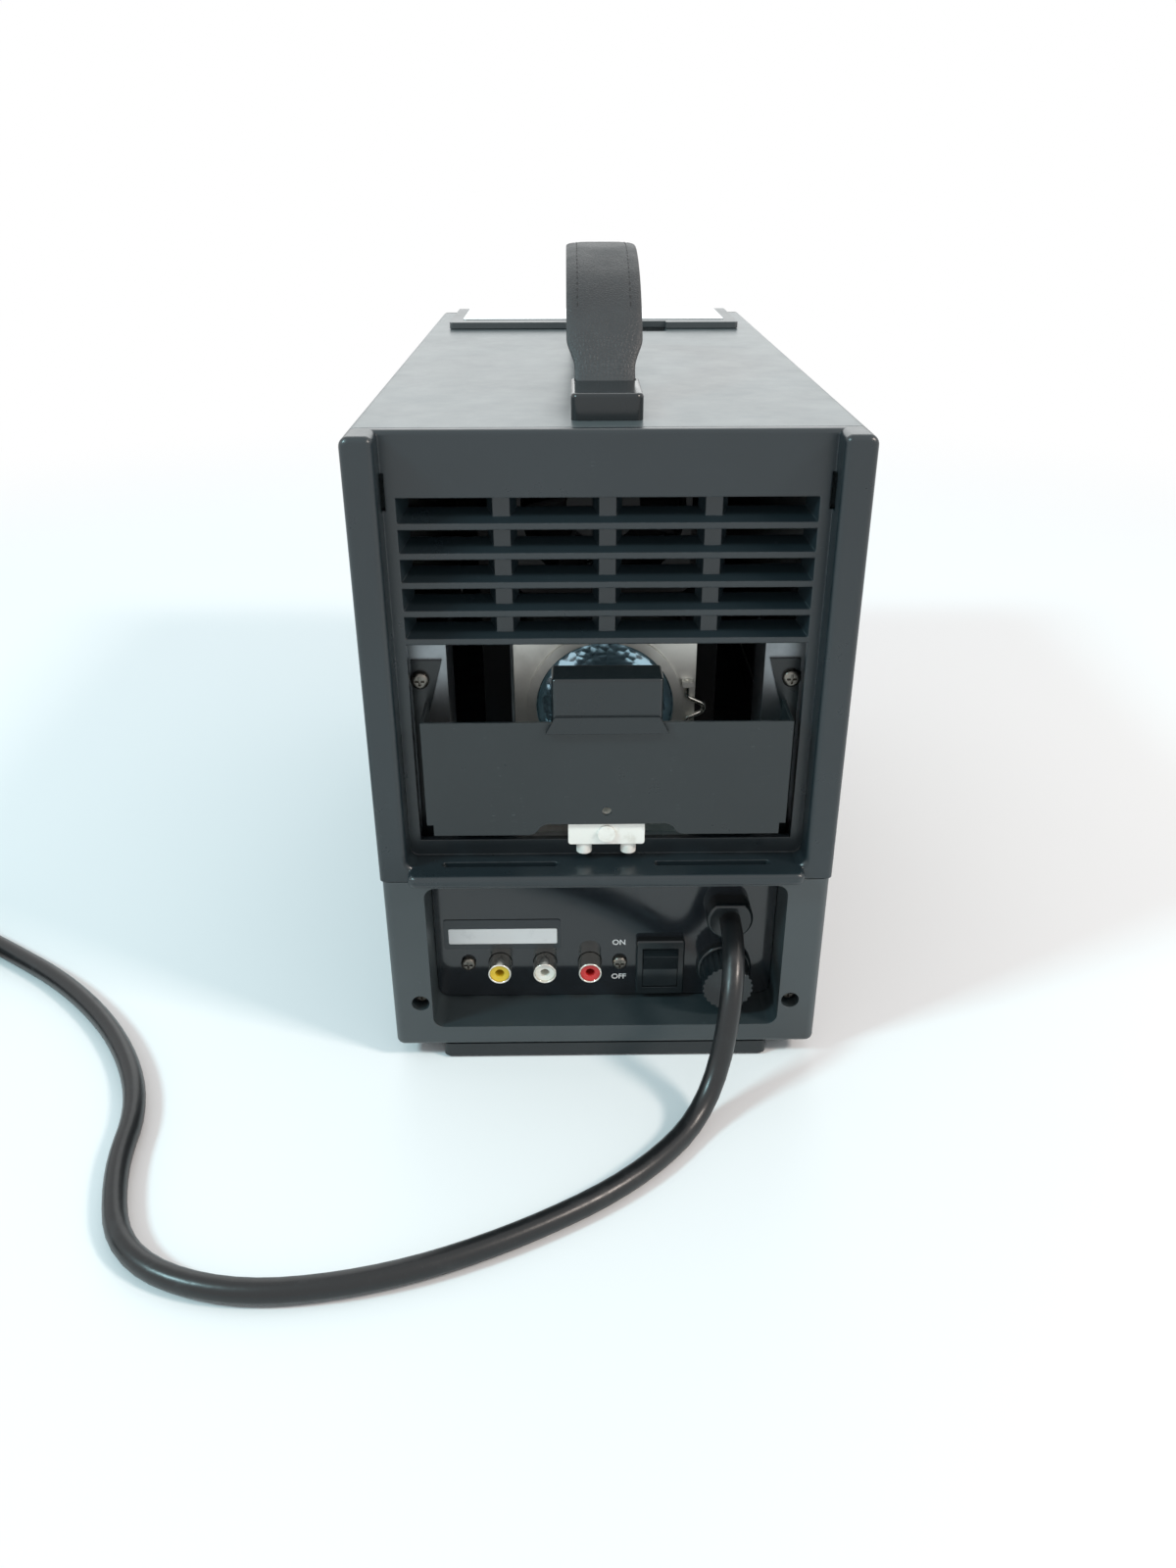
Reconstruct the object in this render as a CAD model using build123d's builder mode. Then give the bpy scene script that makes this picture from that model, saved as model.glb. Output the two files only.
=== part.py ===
from build123d import *
import math
import os

# A small video projector with its lamp cover off, seen from the rear.
# Frame: +Y runs from the rear face to the lens, +X to the right seen from behind, +Z up.
# The origin is on the floor under the middle of the body. Sizes are in millimetres.
# Depths are counted forward from the rear face of the two corner pillars.

# Body
body_width = 152.0
body_depth = 312.0
cover_top = 221.4
seam_height = 75.5
seam_gap = 0.3
rim_pad = (6.0, 1.8)
rim_pad_depths = (6.0, 60.0, 160.0, 260.0)
foot_height = 6.0
cover_wall = 2.4
tray_wall = 2.6
tray_inset = 0.6
edge_radius = 3.0
panel_gap = 0.3
front_thickness = 3.5

# Rear frame moulding
bezel_depth = 13.2
pillar_width = 9.7
pillar_wall = 2.4
pillar_edge = 2.0
pillar_corner = 2.2
recess_depth = 9.7
opening_side = 3.8
opening_rise = 5.8
header_bottom = 202.0
header_edge_radius = 1.5
sill_reach = 5.6
sill_rise = 0.4
sill_thickness = 4.3
sill_end_gap = 0.3
sill_corner = 3.0
sill_edge = 1.6
hook_width = 2.8
hook_overlap = 0.9
hook_depth = 7.0
hook_span = (-3.8, 7.2)

# Air louvres above the lamp bay
louvre_count = 5
louvre_pitch = 9.05
louvre_lowest = 158.1
louvre_lip = 1.85
louvre_depth = 7.0
louvre_rise = 3.4
rib_spacing = 31.7
rib_front = 5.0
rib_back = 9.0
rib_setback = 3.0
cheek_flare = 3.0
cheek_root = 2.0
rib_root = 1.0

# Side vents of the cover and of the tray
vent_middle = (64.0, 112.0)
vent_pitch = 7.0
vent_count = 9
vent_slot = (44.0, 2.6)
grille_pitch = 6.0
grille_count = 7
grille_slot = (30.0, 2.4)

# Rear control recess
recess_side = 13.9
recess_bottom = 14.2
recess_rail = 2.5
panel_depth = 18.0
panel_thickness = 1.2
recess_wall = 2.2
recess_corner = 4.0
seat_rim = 3.5
corner_screw_side = 4.1
corner_screw_z = 24.9
corner_boss = 4.3
counterbore_radius = 3.15
counterbore_depth = 6.0
screw_radius = 1.5
screw_length = 16.0
screw_head = 2.0
driver_reach = 1.6
driver_width = 0.7
driver_depth = 1.1

# Sockets and switch on the control panel
jack_x = (-38.0, -21.7, -5.3)
jack_z = 29.4
jack_radius = 4.2
jack_bore = 3.5
jack_reach = 7.5
jack_setback = 0.8
pin_bore = 1.65
jack_screw_x = (-49.7, 5.6)
jack_block_height = 15.0
jack_block_depth = 10.0
rocker_x = 20.3
rocker_z = 28.2
rocker_width = 12.5
rocker_half = 7.5
rocker_crown = 2.0
rocker_half_turn = 10.0
rocker_pin = 1.2
frame_width = 17.6
frame_height = 23.6
frame_proud = 3.0
switch_depth = 16.0
fuse_x = 43.8
fuse_z = 27.2
fuse_base_radius = 10.0
fuse_base_proud = 2.5
fuse_cap_radius = 9.0
fuse_cap_reach = 14.0
fuse_body_radius = 6.2
fuse_bore = 4.8
fuse_body_length = 28.0
knurl_count = 24
gland_x = 44.2
gland_z = 51.5
gland_radius = 8.2
gland_flat = 6.4
gland_reach = 7.0
gland_shank = 6.0
label_side = 3.4
label_bottom = 35.6
label_size = (42.2, 12.5)
label_thickness = 0.3

# Lamp guard and what it carries
guard_side = 3.4
guard_depth = 3.0
guard_thickness = 1.0
guard_rise = 15.2
guard_top = 132.5
ear_depth = 20.0
ear_reach = 0.5
ear_width = 10.0
ear_top = 147.0
ear_foot_gap = 0.5
ear_foot_height = 5.0
ear_foot_width = 13.0
guard_tab = (19.0, 57.0)
guard_tab_drop = 4.0
guard_tab_slope = 7.0
guard_tab_slot = (16.0, 55.0)
guard_tab_slot_width = 3.0
guard_screw_side = 2.2
guard_screw_z = 140.5
hood_half = 17.5
hood_bottom = 129.5
hood_top = 147.6
hood_depth = (2.0, 14.5)
hood_lip = 0.9
hood_flare = 2.0
block_half = 12.7
block_drop = 8.2
block_height = 17.0
block_depth = 8.0
block_lobe_x = 7.4
block_lobe_radius = 2.6
block_lobe_drop = 4.0
block_boss_radius = 3.0

# Lamp
lamp_axis = 125.5
lamp_plate_depth = 32.0
lamp_plate_half = 30.5
lamp_plate_top = 153.0
lamp_plate_thickness = 1.0
lamp_plate_fold = 8.0
ring_radius = 26.5
ring_bore = 23.2
ring_proud = 1.6
reflector_radius = 25.0
reflector_rim = 4.0
reflector_wall = 1.8
reflector_neck = 7.0
reflector_back = 14.0
socket_size = (24.0, 8.0, 14.0)
bail_radius = 0.8
bail_pivot_x = 27.6
bail_pivot_z = 125.2
bail_reach = 8.5
bail_half = 6.0
bail_stub = 4.0
bail_offset = 1.2
bail_bend = 2.0
ear_size = (3.6, 2.0)

# Folded inner chassis
chassis_thickness = 1.0
chassis_side_gap = 5.6
chassis_depth = (22.0, 252.0)
bay_side_width = 15.5
bay_side_return = 20.0
bridge_half = 33.0
bridge_depth = (58.0, 88.0)
bridge_top = 156.0

# Fan behind the louvres
fan_width = 60.0
fan_corner = 4.0
fan_screw_inset = 5.0
fan_screw_radius = 2.2
fan_spoke = 3.0
fan_thickness = 25.0
fan_depth = 60.0
fan_bore = 28.0
fan_tip = 27.0
fan_hub = 12.5
fan_blades = 7
fan_pin = 2.0

# Picture optics
optics_depth = (100.0, 148.0)
optics_half = 46.0
optics_top = 172.0
tunnel_radius = 32.0
condenser_depth = 108.0
condenser_edge = 4.0
condenser_crown = 9.0
display_depth = 138.0
display_thickness = 3.0
display_half = 42.0
tube_start = 226.0
tube_outer = 27.0
tube_inner = 25.0
tube_end = 325.6
tube_flange = 36.0
tube_flange_thickness = 3.0
lens_hole = 32.0
lens_reach = 18.0
focus_wall = 4.0
ring_gap = 1.2
ring_lip = 2.4
ring_grooves = 36
barrel_wall = 2.4
barrel_length = 74.0
barrel_setback = 8.0
lens_edge = 4.0
lens_crown = 4.5

# Adjuster well and its lid
well_half = 58.0
well_depth = (249.0, 294.0)
well_floor = 205.0
well_wall = 2.0
knob_spacing = 24.0
knob_depth = 266.0
knob_radius = 6.0
knob_height = 9.0
knob_shaft = 2.0
lid_side = 10.0
lid_rear = 241.0
lid_pivot = 298.6
lid_thickness = 2.7
lid_gap = 0.3
lid_plate_half = 60.5
lid_plate_depth = (251.0, 295.5)
lid_plate_thickness = 0.4
lug_x = 47.0
lug_width = 4.0
lug_clearance = 0.3
lid_pin = 0.7
scoop_x = (10.0, 33.0)
scoop_depth = (233.0, 247.0)
scoop_floor = 216.0
scoop_wall = 2.0

# Handle
cap_half = 10.75
cap_height = 7.7
cap_rear = 22.5
cap_roof = 46.0
cap_cheek = 52.0
cap_wall = 3.0
cap_screw_inset = 5.0
strap_half = 12.0
tongue_half = 9.5
tongue_end = 52.5
strap_full = 58.0
strap_thickness = 3.0
strap_level = 226.3
handle_middle = 115.0
strap_crease = 6.0
strap_slope = 60.0
strap_straight = 4.0
strap_shoulder = 55.7
crown_angle = 20.0

# Feet
rear_foot_side = 17.5
rear_foot_depth = (0.5, 28.0)
front_foot_side = 18.0
front_foot_depth = 286.0
front_foot_radius = 8.0
jack_foot_depth = 272.0
jack_foot_radius = 4.0
jack_foot_wheel = 13.0
jack_foot_pad = 7.0
jack_foot_clear = 1.0
jack_foot_top = 32.0
jack_collar_wall = 3.0
jack_collar_height = 6.0

# Parts on the floor of the tray
post_radius = 4.0
post_side = 14.8
post_depths = (36.0, 112.0, 240.0)
transformer_size = (62.0, 50.0, 54.0)
transformer_place = (-34.0, 66.0)
winding_size = (34.0, 68.0, 38.0)
winding_corner = 6.0
board_half = 52.0
board_start = 116.0
board_end_gap = 3.0
board_height = 16.0
board_thickness = 1.6
board_post_radius = 3.0
board_post_inset = (5.0, 6.0)
capacitor_radius = 6.0
capacitor_height = 22.0
capacitor_pitch = 16.0
capacitor_place = (22.0, 24.0)
chip_size = (28.0, 28.0, 3.0)
chip_place = (68.0, 64.0)
driver_size = (36.0, 14.0, 3.0)
driver_place = (28.0, 104.0)
speaker_depth = 206.0
speaker_height = 43.0
speaker_radius = 26.0

# Fits and clearances
running_clearance = 0.05
slot_clearance = 0.2
body_clearance = 0.3

# Mains lead
cord_radius = 3.8
cord_rest = 3.9
coil_outer = 53.0
coil_pitch = 9.6
coil_half_turns = 4
coil_rest = 4.9
coil_layer = 9.6
coil_heading = 147.4
coil_entry = (-282.0, 88.8)
tie_width = 9.0
tie_thickness = 0.7
tie_slack = 0.9
plug_radius = 18.8
plug_body = 18.0
plug_neck = 8.0
plug_taper = 24.0
plug_pin_radius = 2.4
plug_pin_length = 19.0
plug_pin_spacing = 19.0
plug_rest = 18.1
plug_level = 16.0
tail_run = 22.0
plug_heading = -62.0

# Places that follow from the sizes above
overall_depth = sill_reach + body_depth + lens_reach
rear_y = sill_reach - overall_depth / 2
front_y = rear_y + body_depth
middle_y = rear_y + body_depth / 2
body_half = body_width / 2
pillar_inner = body_half - pillar_width
opening_half = pillar_inner - opening_side
upper_bottom = seam_height + seam_gap
sill_bottom = upper_bottom + sill_rise
recess_floor = sill_bottom + sill_thickness
opening_bottom = recess_floor + opening_rise
sill_half = pillar_inner - sill_end_gap
upper_height = cover_top - upper_bottom
tray_half = body_half - tray_inset
recess_half = tray_half - recess_side
recess_top = seam_height - recess_rail
corner_screw_x = recess_half + corner_screw_side
tray_floor = foot_height + tray_wall
guard_half = opening_half - guard_side
guard_bottom = recess_floor + guard_rise
guard_screw_x = opening_half - guard_screw_side
block_bottom = guard_bottom - block_drop
board_end = jack_foot_depth - jack_foot_radius - jack_collar_wall - board_end_gap
board_depth = (board_start, board_end)

os.makedirs("parts", exist_ok=True)


def save(piece, name):
    piece.part.label = name
    export_step(piece.part, "parts/" + name + ".step")


def rear_plane(distance):
    """Upright plane facing the rear, this deep in the body; its sketch reads as (x, z)."""
    return Plane.XZ.offset(-(rear_y + distance))


def side_point(distance, height):
    """Point of a side sketch on Plane.YZ, from a depth in the body and a height."""
    return (rear_y + distance, height)


def centred(low, high):
    """Middle of a span."""
    return (low + high) / 2


# Lower housing: the tray with the rear control recess
with BuildPart() as lower_housing:
    with BuildSketch(Plane.XY.offset(foot_height)):
        with Locations((0, middle_y)):
            RectangleRounded(2 * tray_half, body_depth, edge_radius)
    extrude(amount=seam_height - foot_height)
    fillet(lower_housing.faces().sort_by(Axis.Z)[0].edges(), radius=pillar_edge)
    with BuildSketch(Plane.XY.offset(tray_floor)):
        with Locations((0, middle_y)):
            Rectangle(2 * (tray_half - tray_wall), body_depth - 2 * tray_wall)
    extrude(amount=seam_height, mode=Mode.SUBTRACT)
    recess_middle = centred(recess_bottom, recess_top)
    seat_depth = panel_depth + panel_thickness + recess_wall
    with BuildSketch(rear_plane(tray_wall)):
        with Locations((0, centred(tray_floor, seam_height))):
            Rectangle(2 * (recess_half + recess_wall), seam_height - tray_floor)
        with Locations((corner_screw_x, corner_screw_z), (-corner_screw_x, corner_screw_z)):
            Circle(corner_boss)
    extrude(amount=tray_wall - seat_depth)
    with BuildSketch(rear_plane(0)):
        with Locations((0, recess_middle)):
            RectangleRounded(2 * recess_half, recess_top - recess_bottom, recess_corner)
    extrude(amount=-(panel_depth + panel_thickness), mode=Mode.SUBTRACT)
    with BuildSketch(rear_plane(panel_depth)):
        with Locations((0, recess_middle)):
            Rectangle(2 * (recess_half - seat_rim), recess_top - recess_bottom - 2 * seat_rim)
    extrude(amount=-(panel_thickness + 2 * recess_wall), mode=Mode.SUBTRACT)
    with Locations(rear_plane(0)):
        with Locations((corner_screw_x, corner_screw_z), (-corner_screw_x, corner_screw_z)):
            CounterBoreHole(screw_radius, counterbore_radius, counterbore_depth, seat_depth)
    # Slots in the side walls: the right-hand set lets the speaker be heard
    with BuildSketch(Plane.YZ.offset(-body_half)):
        with Locations(side_point(speaker_depth, speaker_height)):
            with GridLocations(grille_pitch, 1, grille_count, 1):
                SlotOverall(*grille_slot, rotation=90)
    extrude(amount=body_width, mode=Mode.SUBTRACT)
    # Hole in the floor for the levelling screw
    with Locations(Plane.XY.offset(tray_floor)):
        with Locations((0, rear_y + jack_foot_depth)):
            Hole(jack_foot_radius + running_clearance)
    # Posts that carry the chassis and the board
    post_x = tray_half - tray_wall - post_side
    with BuildSketch(Plane.XY.offset(tray_floor)):
        for post_depth in post_depths:
            with Locations((post_x, rear_y + post_depth), (-post_x, rear_y + post_depth)):
                Circle(post_radius)
    extrude(amount=seam_height - tray_floor)
    board_post_x = board_half - board_post_inset[0]
    board_posts = (board_depth[0] + board_post_inset[1], board_depth[1] - board_post_inset[1])
    with BuildSketch(Plane.XY.offset(tray_floor)):
        for post_depth in board_posts:
            with Locations((board_post_x, rear_y + post_depth), (-board_post_x, rear_y + post_depth)):
                Circle(board_post_radius)
    extrude(amount=board_height - tray_floor)
    # Collar that guides the levelling screw
    with BuildSketch(Plane.XY.offset(tray_floor)):
        with Locations((0, rear_y + jack_foot_depth)):
            Circle(jack_foot_radius + jack_collar_wall)
            Circle(jack_foot_radius + running_clearance, mode=Mode.SUBTRACT)
    extrude(amount=jack_collar_height)
    # Low pads on the rim hold the upper pieces clear, which leaves the seam around the body
    rim_middle = tray_half - tray_wall / 2
    with BuildSketch(Plane.XY.offset(seam_height)):
        for pad_depth in rim_pad_depths:
            with Locations((rim_middle, rear_y + pad_depth), (-rim_middle, rear_y + pad_depth)):
                Rectangle(rim_pad[1], rim_pad[0])
        with Locations(*[(place, front_y - tray_wall / 2) for place in (-50.0, 50.0)]):
            Rectangle(*rim_pad)
    extrude(amount=seam_gap)
save(lower_housing, "lower_housing")


# Rear frame: two pillars, the header, the louvres, the lower rail and the sill in one moulding
def cover_outline(bottom):
    """Outline of the upper body seen from behind: two round top corners, square below."""
    corner = body_half - edge_radius
    with BuildSketch() as outline:
        with BuildLine():
            Polyline(
                (-body_half, cover_top - edge_radius),
                (-body_half, bottom),
                (body_half, bottom),
                (body_half, cover_top - edge_radius),
            )
            RadiusArc((body_half, cover_top - edge_radius), (corner, cover_top), -edge_radius)
            Line((corner, cover_top), (-corner, cover_top))
            RadiusArc((-corner, cover_top), (-body_half, cover_top - edge_radius), -edge_radius)
        make_face()
    return outline.sketch


louvre_tops = [louvre_lowest + louvre_pitch * index for index in range(louvre_count)]
panel_front = recess_depth + cover_wall
with BuildPart() as rear_bezel:
    with BuildSketch(rear_plane(0)):
        add(cover_outline(upper_bottom))
    extrude(amount=-bezel_depth)
    # Hollow it from the front, leaving the skin, the pillar sides and the recessed panel
    with BuildSketch(rear_plane(panel_front)):
        with Locations((0, centred(upper_bottom, cover_top - cover_wall))):
            Rectangle(2 * (body_half - cover_wall), cover_top - cover_wall - upper_bottom)
    extrude(amount=-bezel_depth, mode=Mode.SUBTRACT)
    pocket_low = pillar_inner + pillar_wall
    pocket_high = body_half - cover_wall
    with BuildSketch(rear_plane(pillar_wall)):
        for side in (-1, 1):
            with Locations((side * centred(pocket_low, pocket_high), centred(recess_floor, cover_top))):
                Rectangle(pocket_high - pocket_low, cover_top - recess_floor - 2 * cover_wall)
    extrude(amount=-bezel_depth, mode=Mode.SUBTRACT)
    # Recess between the pillars, open at the top
    with BuildSketch(rear_plane(0)):
        with Locations((0, centred(recess_floor, cover_top + recess_floor))):
            RectangleRounded(2 * pillar_inner, cover_top, edge_radius)
    extrude(amount=-recess_depth, mode=Mode.SUBTRACT)
    # Round the pillars: first the upper inner corner of each, then all round its rear face
    top_corners = (
        rear_bezel.edges()
        .filter_by(Axis.Y)
        .filter_by_position(Axis.Z, cover_top - 0.01, cover_top + 0.01)
        .filter_by_position(Axis.X, -pillar_inner - 0.01, pillar_inner + 0.01)
    )
    fillet(top_corners, radius=pillar_corner)
    rear_edges = rear_bezel.edges().filter_by_position(Axis.Y, rear_y - 0.01, rear_y + 0.01)
    upright_edges = rear_edges.filter_by(Axis.Z)
    cap_edges = rear_edges.filter_by_position(Axis.Z, cover_top - 2 * edge_radius, cover_top + 0.01)
    fillet(list(dict.fromkeys(upright_edges + cap_edges)), radius=pillar_edge)
    header_edge = (
        rear_bezel.edges()
        .filter_by(Axis.X)
        .filter_by_position(Axis.Z, cover_top - 0.01, cover_top + 0.01)
        .filter_by_position(Axis.Y, rear_y + recess_depth - 0.01, rear_y + recess_depth + 0.01)
    )
    fillet(header_edge, radius=header_edge_radius)
    # Lamp bay opening, and the upright slots where the lamp cover hooks in beside the header
    with BuildSketch(rear_plane(0)):
        with Locations((0, centred(opening_bottom, header_bottom))):
            Rectangle(2 * opening_half, header_bottom - opening_bottom)
    extrude(amount=-bezel_depth, mode=Mode.SUBTRACT)
    hook_middle = pillar_inner - hook_overlap + hook_width / 2
    with BuildSketch(rear_plane(hook_depth)):
        for side in (-1, 1):
            with Locations((side * hook_middle, header_bottom + centred(*hook_span))):
                Rectangle(hook_width, hook_span[1] - hook_span[0])
    extrude(amount=hook_depth - bezel_depth, mode=Mode.SUBTRACT)
    # Sill with rounded ends below the recess
    with BuildSketch(Plane.XY.offset(sill_bottom)):
        with Locations((0, centred(rear_y - sill_reach, rear_y + recess_depth))):
            RectangleRounded(2 * sill_half, sill_reach + recess_depth, sill_corner)
    extrude(amount=sill_thickness)
    sill_edges = (
        rear_bezel.edges()
        .filter_by(Axis.X)
        .filter_by_position(Axis.Y, rear_y - sill_reach - 0.01, rear_y - sill_reach + 0.01)
    )
    fillet(sill_edges, radius=sill_edge)
    # Slots in the recess floor for the tabs of the guard
    with BuildSketch(Plane.XY.offset(recess_floor - sill_thickness / 2)):
        for side in (-1, 1):
            with Locations((side * centred(*guard_tab_slot), rear_y + guard_depth)):
                SlotOverall(guard_tab_slot[1] - guard_tab_slot[0], guard_tab_slot_width)
    extrude(amount=sill_thickness, mode=Mode.SUBTRACT)
    # Louvre blades, each rising inward from a square lip
    with BuildSketch(Plane.YZ):
        for top in louvre_tops:
            with BuildLine():
                Polyline(
                    side_point(recess_depth, top - louvre_lip),
                    side_point(recess_depth, top),
                    side_point(recess_depth + louvre_depth, top + louvre_rise),
                    side_point(recess_depth + louvre_depth, top + louvre_rise - louvre_lip),
                    close=True,
                )
            make_face()
    extrude(amount=opening_half, both=True)
    # Ribs and flared end cheeks behind the blades
    rib_bottom = louvre_tops[0] - louvre_lip
    rib_start = recess_depth + rib_setback
    rib_end = recess_depth + louvre_depth
    with BuildSketch(Plane.XY.offset(rib_bottom)):
        for middle in (-rib_spacing, 0.0, rib_spacing):
            with BuildLine():
                Polyline(
                    (middle - rib_front / 2, rear_y + rib_start),
                    (middle + rib_front / 2, rear_y + rib_start),
                    (middle + rib_back / 2, rear_y + rib_end),
                    (middle - rib_back / 2, rear_y + rib_end),
                    close=True,
                )
            make_face()
        for side in (-1, 1):
            with BuildLine():
                Polyline(
                    (side * opening_half, rear_y + recess_depth),
                    (side * (opening_half + cheek_root), rear_y + recess_depth),
                    (side * (opening_half + cheek_root), rear_y + rib_end),
                    (side * (opening_half - cheek_flare), rear_y + rib_end),
                    close=True,
                )
            make_face()
    extrude(amount=header_bottom + rib_root - rib_bottom)
save(rear_bezel, "rear_bezel")

# Upper cover: a wrap over the top and both sides
cover_start = bezel_depth + panel_gap
cover_end = body_depth - front_thickness
scoop_middle = (centred(*scoop_x), rear_y + centred(*scoop_depth))
with BuildPart() as upper_cover:
    with BuildSketch(rear_plane(cover_start)):
        add(cover_outline(upper_bottom))
        with Locations((0, centred(upper_bottom, cover_top) - cover_wall)):
            Rectangle(2 * (body_half - cover_wall), upper_height, mode=Mode.SUBTRACT)
    extrude(amount=cover_start - cover_end)
    # Finger scoop behind the lid, a shallow tray under the top
    with BuildSketch(Plane.XY.offset(scoop_floor - scoop_wall)):
        with Locations(scoop_middle):
            Rectangle(
                scoop_x[1] - scoop_x[0] + 2 * scoop_wall,
                scoop_depth[1] - scoop_depth[0] + scoop_wall,
            )
    extrude(amount=cover_top - scoop_floor)
    with BuildSketch(Plane.XY.offset(scoop_floor)):
        with Locations(scoop_middle):
            RectangleRounded(scoop_x[1] - scoop_x[0], scoop_depth[1] - scoop_depth[0], 2.0)
    extrude(amount=cover_top, mode=Mode.SUBTRACT)
    # Well opening under the lid
    with BuildSketch(Plane.XY.offset(cover_top - 2 * cover_wall)):
        with Locations((0, rear_y + centred(*well_depth))):
            RectangleRounded(2 * well_half, well_depth[1] - well_depth[0], 3.0)
    extrude(amount=3 * cover_wall, mode=Mode.SUBTRACT)
    # Two lugs that carry the lid's pins
    pivot_height = cover_top + lid_gap + lid_thickness / 2
    with BuildSketch(Plane.YZ):
        with Locations(side_point(lid_pivot, pivot_height)):
            Circle(lid_thickness / 2)
        with Locations(side_point(lid_pivot, centred(cover_top - 0.4, pivot_height))):
            Rectangle(lid_thickness, pivot_height - cover_top + 0.4)
        with Locations(side_point(lid_pivot, pivot_height)):
            Circle(lid_pin + running_clearance, mode=Mode.SUBTRACT)
    extrude(amount=lug_x + lug_width / 2 - lug_clearance, both=True)
    lug_inner = lug_x - lug_width / 2 + lug_clearance
    with BuildSketch(Plane.XY.offset(cover_top)):
        with Locations((0, rear_y + lid_pivot)):
            Rectangle(2 * lug_inner, 2 * lid_thickness)
    extrude(amount=2 * lid_thickness, mode=Mode.SUBTRACT)
    # Cooling slots low in both sides, beside the lamp
    with BuildSketch(Plane.YZ.offset(-body_half)):
        with Locations(side_point(*vent_middle)):
            with GridLocations(vent_pitch, 1, vent_count, 1):
                SlotOverall(*vent_slot, rotation=90)
    extrude(amount=body_width, mode=Mode.SUBTRACT)
    # Screw holes under the handle caps
    cap_screw = cap_rear + cap_screw_inset
    cap_screws = (cap_screw, 2 * handle_middle - cap_screw)
    with Locations(Plane.XY.offset(cover_top)):
        with Locations(*[(0, rear_y + place) for place in cap_screws]):
            Hole(screw_radius + slot_clearance, depth=cover_wall)
save(upper_cover, "upper_cover")

# Front frame around the lens
front_start = cover_end + panel_gap
with BuildPart() as front_bezel:
    with BuildSketch(rear_plane(front_start)):
        add(cover_outline(upper_bottom))
        with Locations((0, lamp_axis)):
            Circle(lens_hole, mode=Mode.SUBTRACT)
    extrude(amount=front_start - body_depth)
    front_edges = front_bezel.faces().sort_by(Axis.Y)[-1].outer_wire().edges().filter_by(GeomType.LINE)
    chamfer(front_edges, length=0.8)
save(front_bezel, "front_bezel")

# Feet
with BuildPart() as rear_foot:
    with BuildSketch():
        with Locations((0, rear_y + centred(*rear_foot_depth))):
            RectangleRounded(
                2 * (body_half - rear_foot_side), rear_foot_depth[1] - rear_foot_depth[0], 2.0
            )
    extrude(amount=foot_height)
    chamfer(rear_foot.faces().sort_by(Axis.Z)[0].edges(), length=0.8)
save(rear_foot, "rear_foot")

with BuildPart() as front_feet:
    with BuildSketch():
        for side in (-1, 1):
            with Locations((side * (body_half - front_foot_side), rear_y + front_foot_depth)):
                Circle(front_foot_radius)
    extrude(amount=foot_height)
    chamfer(front_feet.faces().group_by(Axis.Z)[0].edges(), length=0.8)
save(front_feet, "front_feet")

# Levelling screw: a wheel turns in place and drives the threaded stem down
wheel_gap = 0.4
pad_thickness = 1.2
wheel_bottom = jack_foot_clear + pad_thickness + wheel_gap
with BuildPart() as foot_stem:
    with BuildSketch(Plane.XY.offset(jack_foot_clear)):
        with Locations((0, rear_y + jack_foot_depth)):
            Circle(jack_foot_pad)
    extrude(amount=pad_thickness)
    with BuildSketch(Plane.XY.offset(jack_foot_clear)):
        with Locations((0, rear_y + jack_foot_depth)):
            Circle(jack_foot_radius)
    extrude(amount=jack_foot_top)
save(foot_stem, "foot_stem")

with BuildPart() as foot_wheel:
    with BuildSketch(Plane.XY.offset(wheel_bottom)):
        with Locations((0, rear_y + jack_foot_depth)):
            Circle(jack_foot_wheel)
            with PolarLocations(jack_foot_wheel + 0.4, knurl_count):
                Circle(1.0, mode=Mode.SUBTRACT)
            Circle(jack_foot_radius + running_clearance, mode=Mode.SUBTRACT)
    extrude(amount=foot_height - wheel_gap - wheel_bottom)
save(foot_wheel, "foot_wheel")

# Control panel plate with its cut-outs
switch_body = (frame_width - 2.0, frame_height - 3.4)
with BuildPart() as control_panel:
    with BuildSketch(rear_plane(panel_depth)):
        with Locations((0, recess_middle)):
            RectangleRounded(
                2 * (recess_half - slot_clearance),
                recess_top - recess_bottom - 2 * slot_clearance,
                recess_corner,
            )
        with Locations(*[(place, jack_z) for place in jack_x]):
            Circle(jack_radius + slot_clearance, mode=Mode.SUBTRACT)
        with Locations(*[(place, jack_z) for place in jack_screw_x]):
            Circle(screw_radius + slot_clearance, mode=Mode.SUBTRACT)
        with Locations((rocker_x, rocker_z)):
            Rectangle(
                switch_body[0] + slot_clearance, switch_body[1] + slot_clearance, mode=Mode.SUBTRACT
            )
        with Locations((fuse_x, fuse_z)):
            Circle(fuse_body_radius + slot_clearance, mode=Mode.SUBTRACT)
        with Locations((gland_x, gland_z)):
            Circle(gland_shank + slot_clearance, mode=Mode.SUBTRACT)
    extrude(amount=-panel_thickness)
save(control_panel, "control_panel")


def pan_screw(face, length, head_radius):
    """Cross-recessed pan head standing proud of a rear-facing plane, its shank going forward."""
    with BuildPart() as screw:
        with BuildSketch(rear_plane(face)):
            Circle(head_radius)
        extrude(amount=screw_head)
        fillet(screw.faces().sort_by(Axis.Y)[0].edges(), radius=0.6 * screw_head)
        with BuildSketch(rear_plane(face)):
            Circle(screw_radius)
        extrude(amount=-length)
        with BuildSketch(rear_plane(face - screw_head)):
            Rectangle(2 * driver_reach, driver_width)
            Rectangle(driver_width, 2 * driver_reach)
        extrude(amount=-driver_depth, mode=Mode.SUBTRACT)
    return screw.part


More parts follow.
